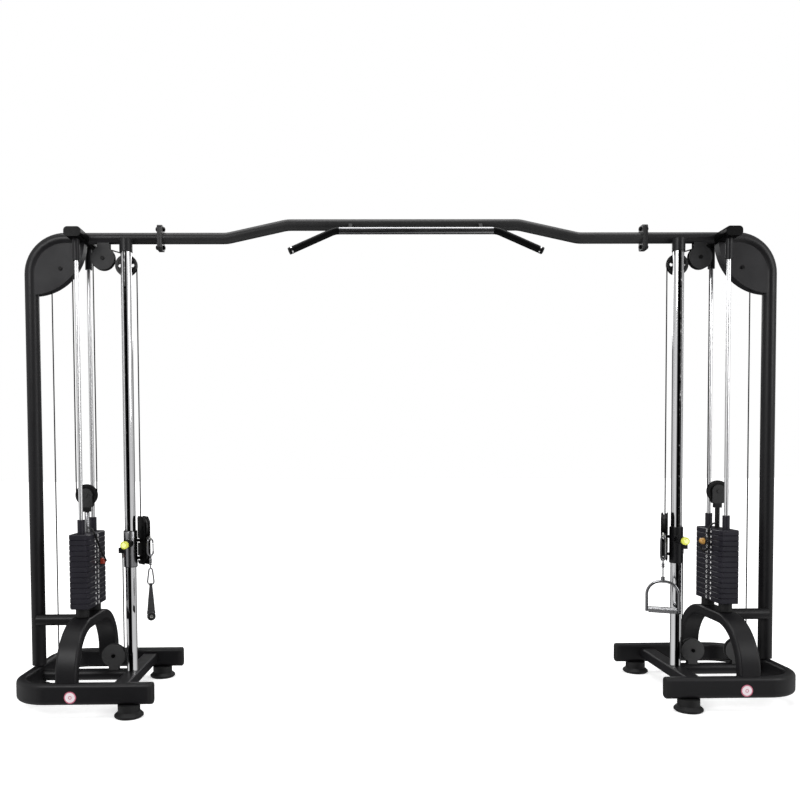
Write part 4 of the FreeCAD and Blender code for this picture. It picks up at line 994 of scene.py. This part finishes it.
def studio_world():
    """Bright and dark upright bands for the plating to mirror, behind a plain white backdrop."""
    world = bpy.data.worlds.new("studio")
    bpy.context.scene.world = world
    world.use_nodes = True
    tree = world.node_tree
    tree.nodes.clear()
    out = tree.nodes.new("ShaderNodeOutputWorld")
    coords = tree.nodes.new("ShaderNodeTexCoord")
    apart = tree.nodes.new("ShaderNodeSeparateXYZ")
    tree.links.new(coords.outputs["Generated"], apart.inputs["Vector"])
    angle = tree.nodes.new("ShaderNodeMath")
    angle.operation = "ARCTAN2"
    tree.links.new(apart.outputs["X"], angle.inputs[0])
    tree.links.new(apart.outputs["Y"], angle.inputs[1])
    turn = tree.nodes.new("ShaderNodeMath")
    turn.operation = "MULTIPLY_ADD"
    tree.links.new(angle.outputs[0], turn.inputs[0])
    turn.inputs[1].default_value = 1 / (2 * math.pi)
    turn.inputs[2].default_value = 0.5
    bands = tree.nodes.new("ShaderNodeValToRGB")
    ramp = bands.color_ramp
    # Shares of a turn and brightness: 0 is ahead of the machine, 0.25 at its left, and 0.5 behind it.
    stops = [(0.0, 0.02), (0.070, 0.03), (0.095, 0.80), (0.16, 1.0), (0.30, 0.85), (0.38, 0.30), (0.46, 0.04),
             (0.54, 0.04), (0.62, 0.30), (0.70, 0.80), (0.84, 0.90), (0.93, 0.80), (0.952, 0.03), (1.0, 0.02)]
    while len(ramp.elements) < len(stops):
        ramp.elements.new(0.5)
    for element, (place, value) in zip(ramp.elements, stops):
        element.position = place
        element.color = (value, value, value, 1.0)
    tree.links.new(turn.outputs[0], bands.inputs["Fac"])
    seen = tree.nodes.new("ShaderNodeLightPath")
    pick = tree.nodes.new("ShaderNodeMixShader")
    tree.links.new(seen.outputs["Is Camera Ray"], pick.inputs[0])
    lit = tree.nodes.new("ShaderNodeBackground")
    lit.inputs["Strength"].default_value = 0.75
    tree.links.new(bands.outputs["Color"], lit.inputs["Color"])
    shown = tree.nodes.new("ShaderNodeBackground")
    shown.inputs["Color"].default_value = (1, 1, 1, 1)
    shown.inputs["Strength"].default_value = 1.0
    tree.links.new(lit.outputs[0], pick.inputs[1])
    tree.links.new(shown.outputs[0], pick.inputs[2])
    tree.links.new(pick.outputs[0], out.inputs["Surface"])


def area_light(name, place, target, size, energy):
    """A rectangular area light at a place, turned to a target."""
    light = bpy.data.lights.new(name, "AREA")
    light.shape = "RECTANGLE"
    light.size, light.size_y = size
    light.energy = energy
    obj = bpy.data.objects.new(name, light)
    obj.location = place
    obj.rotation_euler = (Vector(target) - Vector(place)).to_track_quat("-Z", "Y").to_euler()
    bpy.context.scene.collection.objects.link(obj)


def photo_camera():
    """The camera at the photograph's viewing angle."""
    camera = bpy.data.cameras.new("camera")
    camera.sensor_width = 36.0
    camera.lens = 36.1926
    camera.shift_x = 0.052975
    camera.shift_y = 0.10955
    camera.clip_start = 0.05
    camera.clip_end = 200.0
    eye = bpy.data.objects.new("camera", camera)
    yaw, pitch, roll = -0.016015, -0.035583, 0.0056167
    turn = Matrix.Rotation(yaw, 3, "Z") @ Matrix.Rotation(pitch, 3, "X") @ Matrix.Rotation(roll, 3, "Y")
    right = turn @ vec(1, 0, 0)
    up = turn @ vec(0, 0, 1)
    back = turn @ vec(0, -1, 0)
    matrix = Matrix((right, up, back)).transposed().to_4x4()
    matrix.translation = vec(-0.29210, -3.95388, 1.15855)
    eye.matrix_world = matrix
    bpy.context.scene.collection.objects.link(eye)
    bpy.context.scene.camera = eye


pale_floor()
studio_world()
area_light("key", (-3.2, -4.6, 4.0), (0, 0, 1.2), (2.4, 2.0), 130)
area_light("fill", (4.8, -3.4, 3.0), (0, 0, 1.2), (2.0, 2.6), 80)
area_light("top", (0, 0.2, 5.2), (0, 0, 1.0), (5.5, 3.0), 150)
area_light("rim", (0, 4.6, 3.2), (0, 0, 1.4), (5.0, 1.6), 60)
photo_camera()
bpy.context.scene.view_settings.view_transform = "Standard"
